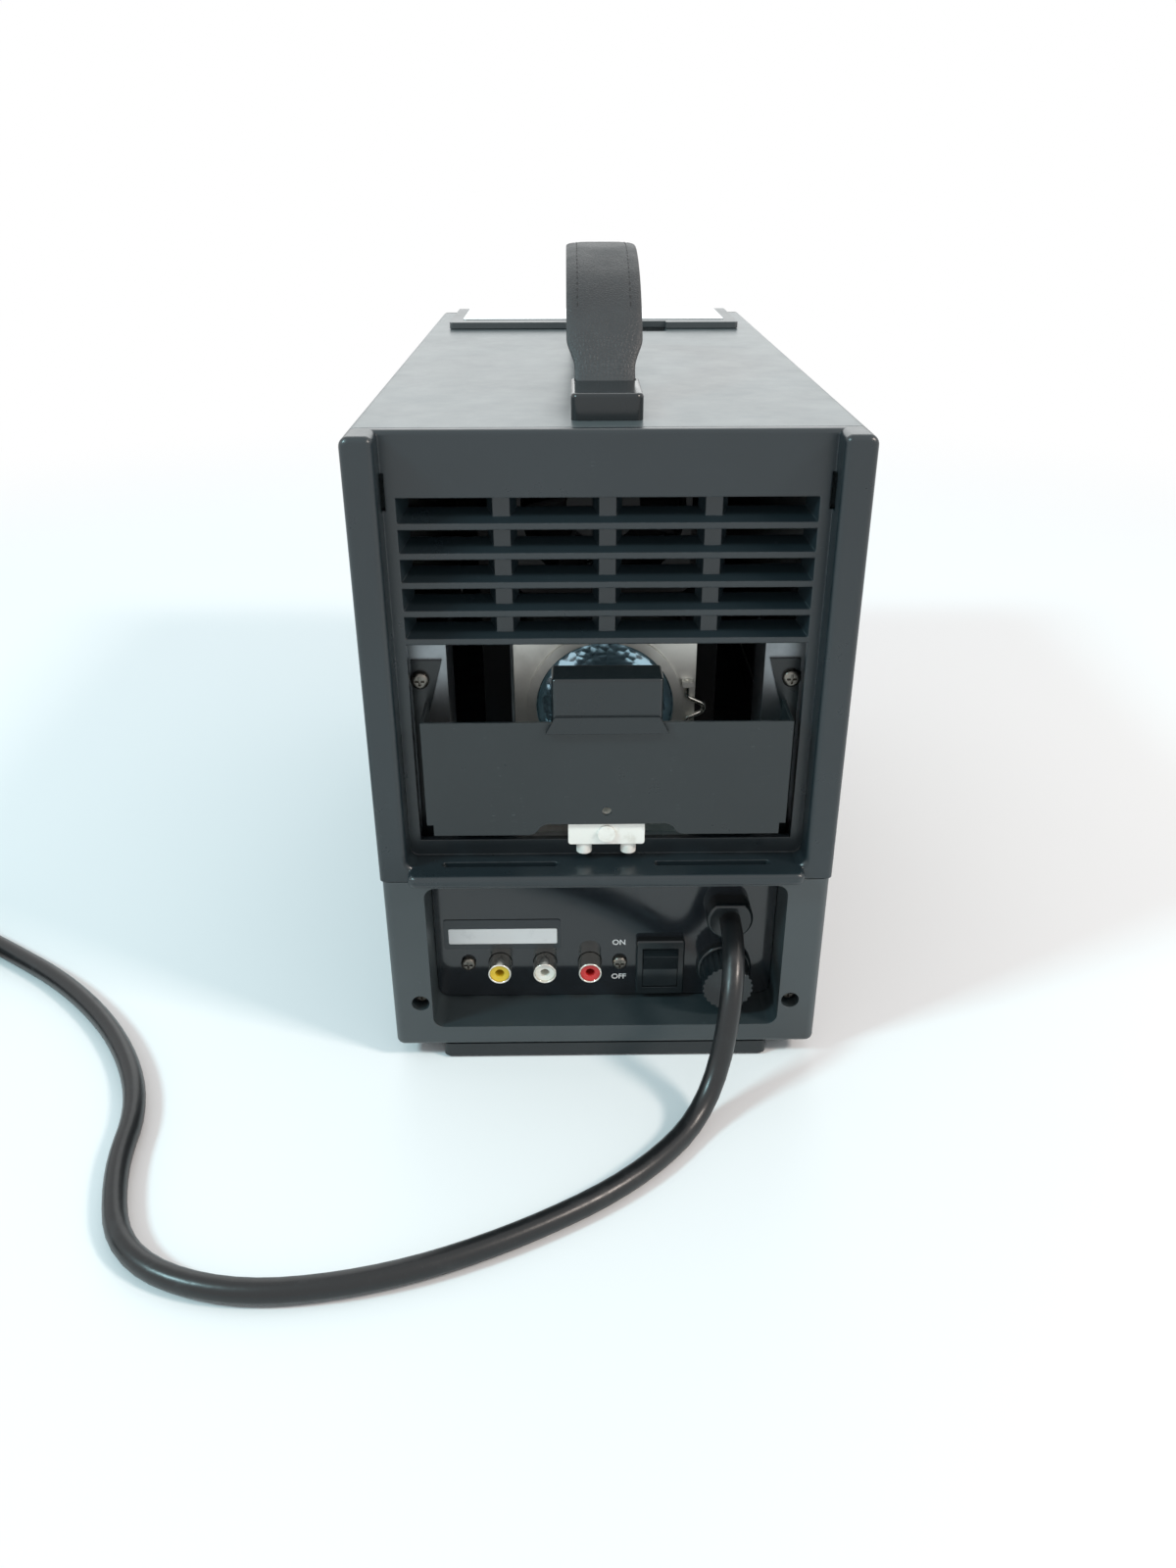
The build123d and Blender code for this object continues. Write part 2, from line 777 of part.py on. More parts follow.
panel_screw = pan_screw(panel_depth, panel_thickness + 6.0, 2.7)
corner_screw = pan_screw(counterbore_depth, screw_length, 2.8)
guard_screw = pan_screw(ear_depth, 5.0, 3.0)
with BuildPart() as panel_screws:
    for place in jack_screw_x:
        add(Pos(place, 0, jack_z) * panel_screw)
save(panel_screws, "panel_screws")
with BuildPart() as corner_screws:
    for side in (-1, 1):
        add(Pos(side * corner_screw_x, 0, corner_screw_z) * corner_screw)
save(corner_screws, "corner_screws")

# Three audio and video sockets on one moulded block
panel_back = panel_depth + panel_thickness
with BuildPart() as jack_block:
    block_low = jack_screw_x[0] - 5.0
    block_high = jack_screw_x[1] + 5.0
    with BuildSketch(rear_plane(panel_back)):
        with Locations((centred(block_low, block_high), jack_z)):
            Rectangle(block_high - block_low, jack_block_height)
        with Locations(*[(place, jack_z) for place in jack_screw_x]):
            Circle(screw_radius, mode=Mode.SUBTRACT)
        with Locations(*[(place, jack_z) for place in jack_x]):
            Circle(pin_bore, mode=Mode.SUBTRACT)
    extrude(amount=-jack_block_depth)
save(jack_block, "jack_block")

with BuildPart() as jack_shells:
    with BuildSketch(rear_plane(panel_depth - jack_reach)):
        with Locations(*[(place, jack_z) for place in jack_x]):
            Circle(jack_radius)
            Circle(jack_bore, mode=Mode.SUBTRACT)
    extrude(amount=-(jack_reach + panel_thickness))
    chamfer(jack_shells.faces().group_by(Axis.Y)[0].edges(), length=0.2)
save(jack_shells, "jack_shells")

for place, name in zip(jack_x, ("video_insert", "left_insert", "right_insert")):
    with BuildPart() as insert:
        with BuildSketch(rear_plane(panel_depth - jack_reach + jack_setback)):
            with Locations((place, jack_z)):
                Circle(jack_bore)
                Circle(pin_bore, mode=Mode.SUBTRACT)
        extrude(amount=-(jack_reach - jack_setback + panel_thickness))
    save(insert, name)

# Mains rocker switch; at rest it is off, so the lower wing is flush and the upper one proud
switch_face = panel_depth - frame_proud
pivot_depth = switch_face + rocker_crown
crown_rise = rocker_half * math.tan(math.radians(rocker_half_turn))
rocker_reach = math.hypot(rocker_half, rocker_crown + crown_rise)
cavity_half = rocker_reach + body_clearance
with BuildPart() as rocker_frame:
    with BuildSketch(rear_plane(switch_face)):
        with Locations((rocker_x, rocker_z)):
            RectangleRounded(frame_width, frame_height, 1.2)
    extrude(amount=-frame_proud)
    chamfer(rocker_frame.faces().sort_by(Axis.Y)[0].edges(), length=0.5)
    with BuildSketch(rear_plane(panel_depth)):
        with Locations((rocker_x, rocker_z)):
            Rectangle(*switch_body)
    extrude(amount=-switch_depth)
    with BuildSketch(rear_plane(switch_face)):
        with Locations((rocker_x, rocker_z)):
            Rectangle(rocker_width + 2 * slot_clearance, 2 * cavity_half)
    extrude(amount=-(rocker_crown + cavity_half), mode=Mode.SUBTRACT)
    with BuildSketch(Plane.YZ.offset(rocker_x - rocker_width / 2 - 1.0)):
        with Locations(side_point(pivot_depth, rocker_z)):
            Circle(rocker_pin + running_clearance)
    extrude(amount=rocker_width + 2.0, mode=Mode.SUBTRACT)
save(rocker_frame, "rocker_frame")


def rocker_point(depth, height, turn):
    """Point of the rocker's side outline, turned about its pivot."""
    angle = math.radians(turn)
    across = depth * math.cos(angle) - height * math.sin(angle)
    up = depth * math.sin(angle) + height * math.cos(angle)
    return side_point(pivot_depth + across, rocker_z + up)


with BuildPart() as power_rocker:
    with BuildSketch(Plane.YZ.offset(rocker_x - rocker_width / 2)):
        with Locations(side_point(pivot_depth, rocker_z)):
            Circle(rocker_reach)
        with BuildLine():
            Polyline(
                rocker_point(-rocker_crown, 0, rocker_half_turn),
                rocker_point(-rocker_crown - 2 * crown_rise, 2 * rocker_half, rocker_half_turn),
                rocker_point(-3 * rocker_half, 2 * rocker_half, rocker_half_turn),
                rocker_point(-3 * rocker_half, -2 * rocker_half, rocker_half_turn),
                rocker_point(-rocker_crown - 2 * crown_rise, -2 * rocker_half, rocker_half_turn),
                close=True,
            )
        make_face(mode=Mode.SUBTRACT)
        with BuildLine():
            Polyline(
                rocker_point(0.6 * rocker_half, 2 * rocker_half, rocker_half_turn),
                rocker_point(3 * rocker_half, 2 * rocker_half, rocker_half_turn),
                rocker_point(3 * rocker_half, -2 * rocker_half, rocker_half_turn),
                rocker_point(0.6 * rocker_half, -2 * rocker_half, rocker_half_turn),
                close=True,
            )
        make_face(mode=Mode.SUBTRACT)
    extrude(amount=rocker_width)
    with BuildSketch(Plane.YZ.offset(rocker_x - rocker_width / 2 - 0.8)):
        with Locations(side_point(pivot_depth, rocker_z)):
            Circle(rocker_pin)
    extrude(amount=rocker_width + 1.6)
save(power_rocker, "power_rocker")

# Fuse holder and its bayonet cap
base_face = panel_depth - fuse_base_proud
cap_gap = 0.3
with BuildPart() as fuse_base:
    with BuildSketch(rear_plane(base_face)):
        with Locations((fuse_x, fuse_z)):
            Circle(fuse_base_radius)
    extrude(amount=-fuse_base_proud)
    fillet(fuse_base.edges().sort_by(Axis.Y)[0], radius=1.0)
    with BuildSketch(rear_plane(panel_depth)):
        with Locations((fuse_x, fuse_z)):
            Circle(fuse_body_radius)
    extrude(amount=-fuse_body_length)
    with BuildSketch(rear_plane(base_face)):
        with Locations((fuse_x, fuse_z)):
            Circle(fuse_bore)
    extrude(amount=-(fuse_body_length - 4.0), mode=Mode.SUBTRACT)
save(fuse_base, "fuse_base")

with BuildPart() as fuse_cap:
    with BuildSketch(rear_plane(panel_depth - fuse_cap_reach)):
        with Locations((fuse_x, fuse_z)):
            Circle(fuse_cap_radius)
            with PolarLocations(fuse_cap_radius + 0.3, knurl_count):
                Circle(0.8, mode=Mode.SUBTRACT)
    extrude(amount=-(fuse_cap_reach - fuse_base_proud - cap_gap))
    with BuildSketch(rear_plane(panel_depth - fuse_cap_reach)):
        with Locations((fuse_x, fuse_z)):
            SlotOverall(11.0, 1.6, rotation=90)
    extrude(amount=-1.5, mode=Mode.SUBTRACT)
    with BuildSketch(rear_plane(panel_depth - fuse_cap_reach + 4.0)):
        with Locations((fuse_x, fuse_z)):
            Circle(fuse_bore - running_clearance)
    extrude(amount=-18.0)
save(fuse_cap, "fuse_cap")

# Cord gland: a round bush with one flat
with BuildPart() as cord_gland:
    with BuildSketch(rear_plane(panel_depth - gland_reach)):
        with Locations((gland_x, gland_z)):
            Circle(gland_radius)
        with Locations((gland_x, gland_z + gland_flat + gland_radius / 2)):
            Rectangle(2 * gland_radius, gland_radius, mode=Mode.SUBTRACT)
    extrude(amount=-gland_reach)
    fillet(cord_gland.faces().sort_by(Axis.Y)[0].edges(), radius=1.2)
    with BuildSketch(rear_plane(panel_depth)):
        with Locations((gland_x, gland_z)):
            Circle(gland_shank)
    extrude(amount=-9.0)
    with BuildSketch(rear_plane(panel_back)):
        with Locations((gland_x, gland_z)):
            Circle(gland_radius)
    extrude(amount=-3.0)
save(cord_gland, "cord_gland")

with BuildPart() as blank_label:
    with BuildSketch(rear_plane(panel_depth - label_thickness)):
        label_left = label_side - recess_half
        with Locations((label_left + label_size[0] / 2, label_bottom + label_size[1] / 2)):
            RectangleRounded(*label_size, 1.0)
    extrude(amount=-label_thickness)
save(blank_label, "blank_label")

# Lamp guard: folded sheet with side flanges and screwed ears
with BuildPart() as lamp_guard:
    with BuildSketch(rear_plane(guard_depth)):
        with Locations((0, centred(guard_bottom, guard_top))):
            Rectangle(2 * guard_half, guard_top - guard_bottom)
        # Each side of the lower edge drops through an S-shaped step of two equal arcs
        tab_bottom = guard_bottom - guard_tab_drop
        step_start = guard_tab[0]
        step_end = guard_tab[0] + guard_tab_slope
        step_middle = (centred(step_start, step_end), guard_bottom - guard_tab_drop / 2)
        for side in (-1, 1):
            with BuildLine():
                first = TangentArc(
                    (side * step_start, guard_bottom),
                    (side * step_middle[0], step_middle[1]),
                    tangent=(side, 0),
                )
                TangentArc(first @ 1, (side * step_end, tab_bottom), tangent=first % 1)
                Polyline(
                    (side * step_end, tab_bottom),
                    (side * guard_tab[1], tab_bottom),
                    (side * guard_tab[1], guard_bottom),
                    (side * step_start, guard_bottom),
                )
            make_face()
    extrude(amount=-guard_thickness)
    flange_x = guard_half - guard_thickness / 2
    flange_y = rear_y + centred(guard_depth, ear_depth)
    with BuildSketch(Plane.XY.offset(guard_bottom)):
        with Locations((flange_x, flange_y), (-flange_x, flange_y)):
            Rectangle(guard_thickness, ear_depth - guard_depth)
    extrude(amount=guard_top - guard_bottom)
    ear_outer = opening_half + ear_reach
    ear_bottom = recess_floor + ear_foot_gap
    ear_foot_top = ear_bottom + ear_foot_height
    ear_foot_inner = ear_outer - ear_foot_width
    with BuildSketch(rear_plane(ear_depth)):
        for side in (-1, 1):
            with BuildLine():
                Polyline(
                    (side * ear_foot_inner, ear_bottom),
                    (side * ear_outer, ear_bottom),
                    (side * ear_outer, ear_top),
                    (side * (ear_outer - ear_width), ear_top),
                    (side * (guard_half - guard_thickness), guard_top - 4.0),
                    (side * (guard_half - guard_thickness), ear_foot_top + 3.0),
                    (side * ear_foot_inner, ear_foot_top),
                    close=True,
                )
            make_face()
        with Locations(*[(side * guard_screw_x, guard_screw_z) for side in (-1, 1)]):
            Circle(screw_radius + slot_clearance, mode=Mode.SUBTRACT)
    extrude(amount=-guard_thickness)
    # A threaded hole in the middle holds the terminal block
    with Locations(rear_plane(guard_depth)):
        with Locations((0, block_bottom + block_height - 4.0)):
            Hole(screw_radius, depth=guard_thickness)
save(lamp_guard, "lamp_guard")

with BuildPart() as guard_screws:
    for side in (-1, 1):
        add(Pos(side * guard_screw_x, 0, guard_screw_z) * guard_screw)
save(guard_screws, "guard_screws")

# Grip block pushed over the top edge of the guard
with BuildPart() as lamp_grip:
    with BuildSketch(rear_plane(hood_depth[0])):
        with Locations((0, centred(hood_bottom, hood_top))):
            Rectangle(2 * hood_half, hood_top - hood_bottom)
    extrude(amount=hood_depth[0] - hood_depth[1])
    fillet(lamp_grip.edges().filter_by(Axis.Z), radius=1.5)
    fillet(lamp_grip.faces().sort_by(Axis.Z)[-1].edges(), radius=1.0)
    lip_bottom = guard_top - 3.2
    with BuildSketch(rear_plane(hood_depth[0] - hood_lip)):
        with BuildLine():
            Polyline(
                (-hood_half - hood_flare, lip_bottom),
                (hood_half + hood_flare, lip_bottom),
                (hood_half - 1.0, guard_top + 2.5),
                (1.0 - hood_half, guard_top + 2.5),
                close=True,
            )
        make_face()
    extrude(amount=-(hood_lip + guard_depth - hood_depth[0]))
    with BuildSketch(rear_plane(guard_depth)):
        with Locations((0, guard_top - 10.0)):
            Rectangle(3 * hood_half, 20.0)
    extrude(amount=-guard_thickness, mode=Mode.SUBTRACT)
    # Behind the sheet only a thin clip reaches down, clear of the lamp socket
    clip_rear = guard_depth + guard_thickness + 1.5
    grip_floor = guard_top + 1.5
    with BuildSketch(rear_plane(clip_rear)):
        with Locations((0, grip_floor - 10.0)):
            Rectangle(3 * hood_half, 20.0)
    extrude(amount=-hood_depth[1], mode=Mode.SUBTRACT)
save(lamp_grip, "lamp_grip")

# White ceramic terminal block behind the lower edge of the guard
block_face = guard_depth + guard_thickness
with BuildPart() as terminal_block:
    with BuildSketch(rear_plane(block_face)):
        with Locations((0, block_bottom + block_height / 2)):
            Rectangle(2 * block_half, block_height)
    extrude(amount=-block_depth)
    fillet(terminal_block.edges().filter_by(Axis.Y), radius=1.0)
    for side in (-1, 1):
        with BuildSketch(Plane.XY.offset(block_bottom - block_lobe_drop)):
            with Locations((side * block_lobe_x, rear_y + block_face + block_lobe_radius + 0.4)):
                Circle(block_lobe_radius)
        extrude(amount=block_lobe_drop + 1.0)
    with BuildSketch(rear_plane(block_face)):
        with Locations((0, centred(block_bottom, guard_bottom))):
            Circle(block_boss_radius)
    extrude(amount=0.8)
    with Locations(rear_plane(block_face)):
        with Locations((0, block_bottom + block_height - 4.0)):
            Hole(screw_radius, depth=block_depth)
save(terminal_block, "terminal_block")

# Inner chassis: floor, the two bay sides, and the bridge that carries the fan
chassis_half = body_half - cover_wall - chassis_side_gap
bay_side_x = chassis_half - bay_side_width
with BuildPart() as inner_chassis:
    with BuildSketch(Plane.XY.offset(seam_height)):
        with Locations((0, rear_y + centred(*chassis_depth))):
            Rectangle(2 * chassis_half, chassis_depth[1] - chassis_depth[0])
        with Locations((transformer_place[0], rear_y + transformer_place[1])):
            Rectangle(20.0, 20.0, mode=Mode.SUBTRACT)
    extrude(amount=chassis_thickness)
    bay_edge = ear_depth + guard_thickness
    with BuildSketch(Plane.XY.offset(seam_height)):
        for side in (-1, 1):
            with BuildLine():
                Polyline(
                    (side * chassis_half, rear_y + bay_edge),
                    (side * (bay_side_x - chassis_thickness), rear_y + bay_edge),
                    (side * (bay_side_x - chassis_thickness), rear_y + bay_edge + bay_side_return),
                    (side * bay_side_x, rear_y + bay_edge + bay_side_return),
                    (side * bay_side_x, rear_y + bay_edge + chassis_thickness),
                    (side * chassis_half, rear_y + bay_edge + chassis_thickness),
                    close=True,
                )
            make_face()
    extrude(amount=bridge_top - seam_height)
    # Screw holes for the guard's ears
    with BuildSketch(rear_plane(bay_edge)):
        with Locations(*[(side * guard_screw_x, guard_screw_z) for side in (-1, 1)]):
            Circle(screw_radius)
    extrude(amount=-chassis_thickness, mode=Mode.SUBTRACT)
    with BuildSketch(rear_plane(bridge_depth[0])):
        with Locations((0, centred(seam_height, bridge_top))):
            Rectangle(2 * bridge_half, bridge_top - seam_height)
            Rectangle(
                2 * (bridge_half - chassis_thickness),
                bridge_top - seam_height - 2 * chassis_thickness,
                mode=Mode.SUBTRACT,
            )
    extrude(amount=bridge_depth[0] - bridge_depth[1])
save(inner_chassis, "inner_chassis")

# Lamp plate with folded edges and a raised ring around the reflector
chassis_floor = seam_height + chassis_thickness
with BuildPart() as lamp_plate:
    with BuildSketch(rear_plane(lamp_plate_depth)):
        with Locations((0, centred(chassis_floor, lamp_plate_top))):
            Rectangle(2 * lamp_plate_half, lamp_plate_top - chassis_floor)
    extrude(amount=-lamp_plate_thickness)
    with BuildSketch(rear_plane(lamp_plate_depth)):
        for side in (-1, 1):
            fold_x = side * (lamp_plate_half - lamp_plate_thickness / 2)
            with Locations((fold_x, centred(chassis_floor, lamp_plate_top))):
                Rectangle(lamp_plate_thickness, lamp_plate_top - chassis_floor)
    extrude(amount=-lamp_plate_fold)
    with BuildSketch(rear_plane(lamp_plate_depth - ring_proud)):
        with Locations((0, lamp_axis)):
            Circle(ring_radius)
    extrude(amount=-ring_proud)
    with BuildSketch(rear_plane(lamp_plate_depth - ring_proud)):
        with Locations((0, lamp_axis)):
            Circle(ring_bore)
    extrude(amount=-(ring_proud + lamp_plate_thickness), mode=Mode.SUBTRACT)
    # Two ears carry the wire bail
    ear_places = [bail_pivot_z + side * (bail_half + bail_stub - ear_size[1] / 2) for side in (-1, 1)]
    ear_front = lamp_plate_depth - bail_offset - 2.0
    with BuildSketch(rear_plane(ear_front)):
        with Locations(*[(bail_pivot_x, place) for place in ear_places]):
            Rectangle(*ear_size)
    extrude(amount=ear_front - lamp_plate_depth)
    with BuildSketch(Plane.XY.offset(ear_places[0] - ear_size[1])):
        with Locations((bail_pivot_x, rear_y + lamp_plate_depth - bail_offset)):
            Circle(bail_radius + running_clearance)
    extrude(amount=ear_places[1] - ear_places[0] + 2 * ear_size[1], mode=Mode.SUBTRACT)
save(lamp_plate, "lamp_plate")

# Dichroic reflector: its rim sits against the front of the plate, its back faces the rear
rim_depth = lamp_plate_depth + lamp_plate_thickness


def lamp_point(radius, distance):
    """Point of the reflector's half outline: radius from the lamp axis, and depth."""
    return (radius, rear_y + distance)


with BuildPart() as lamp_reflector:
    with BuildSketch(Plane.XY.offset(lamp_axis)):
        with BuildLine():
            shoulder = ring_bore - 2 * body_clearance
            Polyline(
                lamp_point(0, reflector_back),
                lamp_point(reflector_neck, reflector_back),
                lamp_point(reflector_neck, reflector_back + 3.0),
            )
            RadiusArc(
                lamp_point(reflector_neck, reflector_back + 3.0),
                lamp_point(shoulder, rim_depth),
                30.0,
            )
            Polyline(
                lamp_point(shoulder, rim_depth),
                lamp_point(reflector_radius, rim_depth),
                lamp_point(reflector_radius, rim_depth + reflector_rim),
                lamp_point(reflector_radius - reflector_wall, rim_depth + reflector_rim),
            )
            RadiusArc(
                lamp_point(reflector_radius - reflector_wall, rim_depth + reflector_rim),
                lamp_point(3.0, reflector_back + 4.0),
                -27.0,
            )
            Polyline(
                lamp_point(3.0, reflector_back + 4.0),
                lamp_point(0, reflector_back + 4.0),
                lamp_point(0, reflector_back),
            )
        make_face()
    revolve(axis=Axis((0, 0, lamp_axis), (0, 1, 0)))
save(lamp_reflector, "lamp_reflector")

with BuildPart() as lamp_socket:
    socket_face = reflector_back - socket_size[1]
    with BuildSketch(rear_plane(socket_face)):
        with Locations((0, lamp_axis)):
            Rectangle(socket_size[0], socket_size[2])
    extrude(amount=-socket_size[1])
    fillet(lamp_socket.edges().filter_by(Axis.Y), radius=1.5)
save(lamp_socket, "lamp_socket")

# Wire bail: a U that swings out about an upright axis in the plate's two ears
bail_y = rear_y + lamp_plate_depth - bail_offset
bail_low = bail_pivot_z - bail_half
bail_high = bail_pivot_z + bail_half
with BuildPart() as lamp_bail:
    with BuildLine() as bail_path:
        FilletPolyline(
            (bail_pivot_x, bail_y, bail_low - bail_stub),
            (bail_pivot_x, bail_y, bail_low + bail_bend),
            (bail_pivot_x + bail_reach, bail_y, bail_pivot_z),
            (bail_pivot_x, bail_y, bail_high - bail_bend),
            (bail_pivot_x, bail_y, bail_high + bail_stub),
            radius=bail_bend,
        )
    bail_line = bail_path.wire()
    with BuildSketch(Plane(origin=bail_line @ 0, z_dir=bail_line % 0)):
        Circle(bail_radius)
    sweep(path=bail_line)
save(lamp_bail, "lamp_bail")

# Fan: square frame with a hub on spokes, and the rotor with pitched blades
fan_height = bridge_top + fan_width / 2
with BuildPart() as fan_frame:
    with BuildSketch(rear_plane(fan_depth)):
        with Locations((0, fan_height)):
            RectangleRounded(fan_width, fan_width, fan_corner)
            Circle(fan_bore, mode=Mode.SUBTRACT)
            screw_span = fan_width - 2 * fan_screw_inset
            with GridLocations(screw_span, screw_span, 2, 2):
                Circle(fan_screw_radius, mode=Mode.SUBTRACT)
    extrude(amount=-fan_thickness)
    spoke_depth = fan_depth + fan_thickness - fan_spoke
    with BuildSketch(rear_plane(spoke_depth)):
        with Locations((0, fan_height)):
            Circle(fan_hub)
            Rectangle(2 * fan_bore + 1.0, fan_spoke)
            Rectangle(fan_spoke, 2 * fan_bore + 1.0)
    extrude(amount=-fan_spoke)
    with BuildSketch(rear_plane(spoke_depth)):
        with Locations((0, fan_height)):
            Circle(fan_pin)
    extrude(amount=10.0)
save(fan_frame, "fan_frame")

with BuildPart() as fan_blade:
    blade_chord = 15.0
    with BuildSketch(Plane.XY):
        Rectangle(1.4, blade_chord)
    extrude(amount=fan_tip + 2.0)
with BuildPart() as fan_rotor:
    rotor_start = fan_depth + 3.0
    rotor_length = 17.0
    with BuildSketch(rear_plane(rotor_start)):
        with Locations((0, fan_height)):
            Circle(fan_tip)
    extrude(amount=-rotor_length)
    blades = [
        Pos(0, rear_y + rotor_start + rotor_length / 2, fan_height)
        * Rot(0, 360.0 * index / fan_blades, 0)
        * Rot(0, 0, 38.0)
        * fan_blade.part
        for index in range(fan_blades)
    ]
    add(blades, mode=Mode.INTERSECT)
    with BuildSketch(rear_plane(rotor_start)):
        with Locations((0, fan_height)):
            Circle(fan_hub)
    extrude(amount=-rotor_length)
    with BuildSketch(rear_plane(rotor_start + rotor_length - 9.0)):
        with Locations((0, fan_height)):
            Circle(fan_pin + running_clearance)
    extrude(amount=-12.0, mode=Mode.SUBTRACT)
save(fan_rotor, "fan_rotor")

# Optics block: a light tunnel with seats for the condenser and the display
with BuildPart() as optics_block:
    with BuildSketch(rear_plane(optics_depth[0])):
        with Locations((0, centred(chassis_floor, optics_top))):
            Rectangle(2 * optics_half, optics_top - chassis_floor)
        with Locations((0, lamp_axis)):
            Circle(tunnel_radius, mode=Mode.SUBTRACT)
    extrude(amount=optics_depth[0] - optics_depth[1])
    with BuildSketch(rear_plane(display_depth)):
        with Locations((0, centred(lamp_axis - display_half, optics_top + 10.0))):
            Rectangle(
                2 * (display_half + slot_clearance), optics_top + 10.0 - lamp_axis + display_half
            )
    extrude(amount=-(display_thickness + slot_clearance), mode=Mode.SUBTRACT)
save(optics_block, "optics_block")


def dome_radius(half_width, rise):
    """Radius of a dome from its half width and its rise."""
    return (half_width**2 + rise**2) / (2 * rise)


with BuildPart() as condenser_lens:
    lens_radius = tunnel_radius - running_clearance
    with BuildSketch(Plane.XY.offset(lamp_axis)):
        with BuildLine():
            Polyline(
                lamp_point(0, condenser_depth - condenser_crown),
                lamp_point(0, condenser_depth + condenser_edge),
                lamp_point(lens_radius, condenser_depth + condenser_edge),
                lamp_point(lens_radius, condenser_depth),
            )
            RadiusArc(
                lamp_point(lens_radius, condenser_depth),
                lamp_point(0, condenser_depth - condenser_crown),
                dome_radius(lens_radius, condenser_crown),
            )
        make_face()
    revolve(axis=Axis((0, 0, lamp_axis), (0, 1, 0)))
save(condenser_lens, "condenser_lens")

with BuildPart() as display_panel:
    with BuildSketch(rear_plane(display_depth)):
        with Locations((0, lamp_axis)):
            Rectangle(2 * display_half, 2 * display_half)
    extrude(amount=-display_thickness)
save(display_panel, "display_panel")

# Projection lens: fixed tube, turning focus ring, sliding barrel
with BuildPart() as lens_tube:
    with BuildSketch(rear_plane(tube_start)):
        with Locations((0, lamp_axis)):
            Rectangle(2 * tube_flange, 2 * tube_flange)
        with Locations((0, centred(chassis_floor, lamp_axis))):
            Rectangle(2 * tube_flange, lamp_axis - chassis_floor)
        with Locations((0, lamp_axis)):
            Circle(tube_inner, mode=Mode.SUBTRACT)
    extrude(amount=-tube_flange_thickness)
    with BuildSketch(rear_plane(tube_start)):
        with Locations((0, lamp_axis)):
            Circle(tube_outer)
            Circle(tube_inner, mode=Mode.SUBTRACT)
    extrude(amount=tube_start - tube_end)
save(lens_tube, "lens_tube")

barrel_radius = tube_inner - running_clearance
barrel_front = body_depth + lens_reach - barrel_setback
with BuildPart() as focus_ring:
    ring_start = body_depth + ring_gap
    ring_bore_radius = tube_outer + running_clearance
    ring_outer = tube_outer + focus_wall
    with BuildSketch(rear_plane(ring_start)):
        with Locations((0, lamp_axis)):
            Circle(ring_outer)
            with PolarLocations(ring_outer + 0.4, ring_grooves):
                Circle(1.2, mode=Mode.SUBTRACT)
            Circle(ring_bore_radius, mode=Mode.SUBTRACT)
    extrude(amount=ring_start - body_depth - lens_reach)
    with BuildSketch(rear_plane(body_depth + lens_reach - ring_lip)):
        with Locations((0, lamp_axis)):
            Circle(ring_bore_radius + 1.0)
            Circle(barrel_radius + 1.0, mode=Mode.SUBTRACT)
    extrude(amount=-ring_lip)
save(focus_ring, "focus_ring")

with BuildPart() as lens_barrel:
    with BuildSketch(rear_plane(barrel_front - barrel_length)):
        with Locations((0, lamp_axis)):
            Circle(barrel_radius)
            Circle(barrel_radius - barrel_wall, mode=Mode.SUBTRACT)
    extrude(amount=-barrel_length)
save(lens_barrel, "lens_barrel")

with BuildPart() as front_lens:
    glass_radius = barrel_radius - barrel_wall
    glass_rear = barrel_front - 3.0 - lens_edge - lens_crown
    with BuildSketch(Plane.XY.offset(lamp_axis)):
        with BuildLine():
            Polyline(
                lamp_point(0, glass_rear + lens_edge + lens_crown),
                lamp_point(0, glass_rear),
                lamp_point(glass_radius, glass_rear),
                lamp_point(glass_radius, glass_rear + lens_edge),
            )
            RadiusArc(
                lamp_point(glass_radius, glass_rear + lens_edge),
                lamp_point(0, glass_rear + lens_edge + lens_crown),
                -dome_radius(glass_radius, lens_crown),
            )
        make_face()
    revolve(axis=Axis((0, 0, lamp_axis), (0, 1, 0)))
save(front_lens, "front_lens")

# Transformer and main board in the tray
with BuildPart() as transformer:
    with BuildSketch(Plane.XY.offset(tray_floor)):
        with Locations((transformer_place[0], rear_y + transformer_place[1])):
            Rectangle(transformer_size[0], transformer_size[1])
    extrude(amount=transformer_size[2])
    with BuildSketch(Plane.XY.offset(tray_floor + centred(0, transformer_size[2] - winding_size[2]))):
        with Locations((transformer_place[0], rear_y + transformer_place[1])):
            RectangleRounded(winding_size[0], winding_size[1], winding_corner)
    extrude(amount=winding_size[2])
save(transformer, "transformer")

with BuildPart() as main_board:
    with BuildSketch(Plane.XY.offset(board_height)):
        with Locations((0, rear_y + centred(*board_depth))):
            Rectangle(2 * board_half, board_depth[1] - board_depth[0])
    extrude(amount=board_thickness)
    # Parts on the board, placed from its left rear corner
    board_top = board_height + board_thickness
    corner_y = rear_y + board_depth[0]
    capacitors = [(0, 0), (0, 1), (1, 0)]
    with BuildSketch(Plane.XY.offset(board_top)):
        for column, row in capacitors:
            capacitor_x = capacitor_place[0] + column * capacitor_pitch - board_half
            with Locations((capacitor_x, corner_y + capacitor_place[1] + row * capacitor_pitch)):
                Circle(capacitor_radius)
    extrude(amount=capacitor_height)
    for size, place in ((chip_size, chip_place), (driver_size, driver_place)):
        with BuildSketch(Plane.XY.offset(board_top)):
            with Locations((place[0] - board_half, corner_y + place[1])):
                Rectangle(size[0], size[1])
        extrude(amount=size[2])
save(main_board, "main_board")

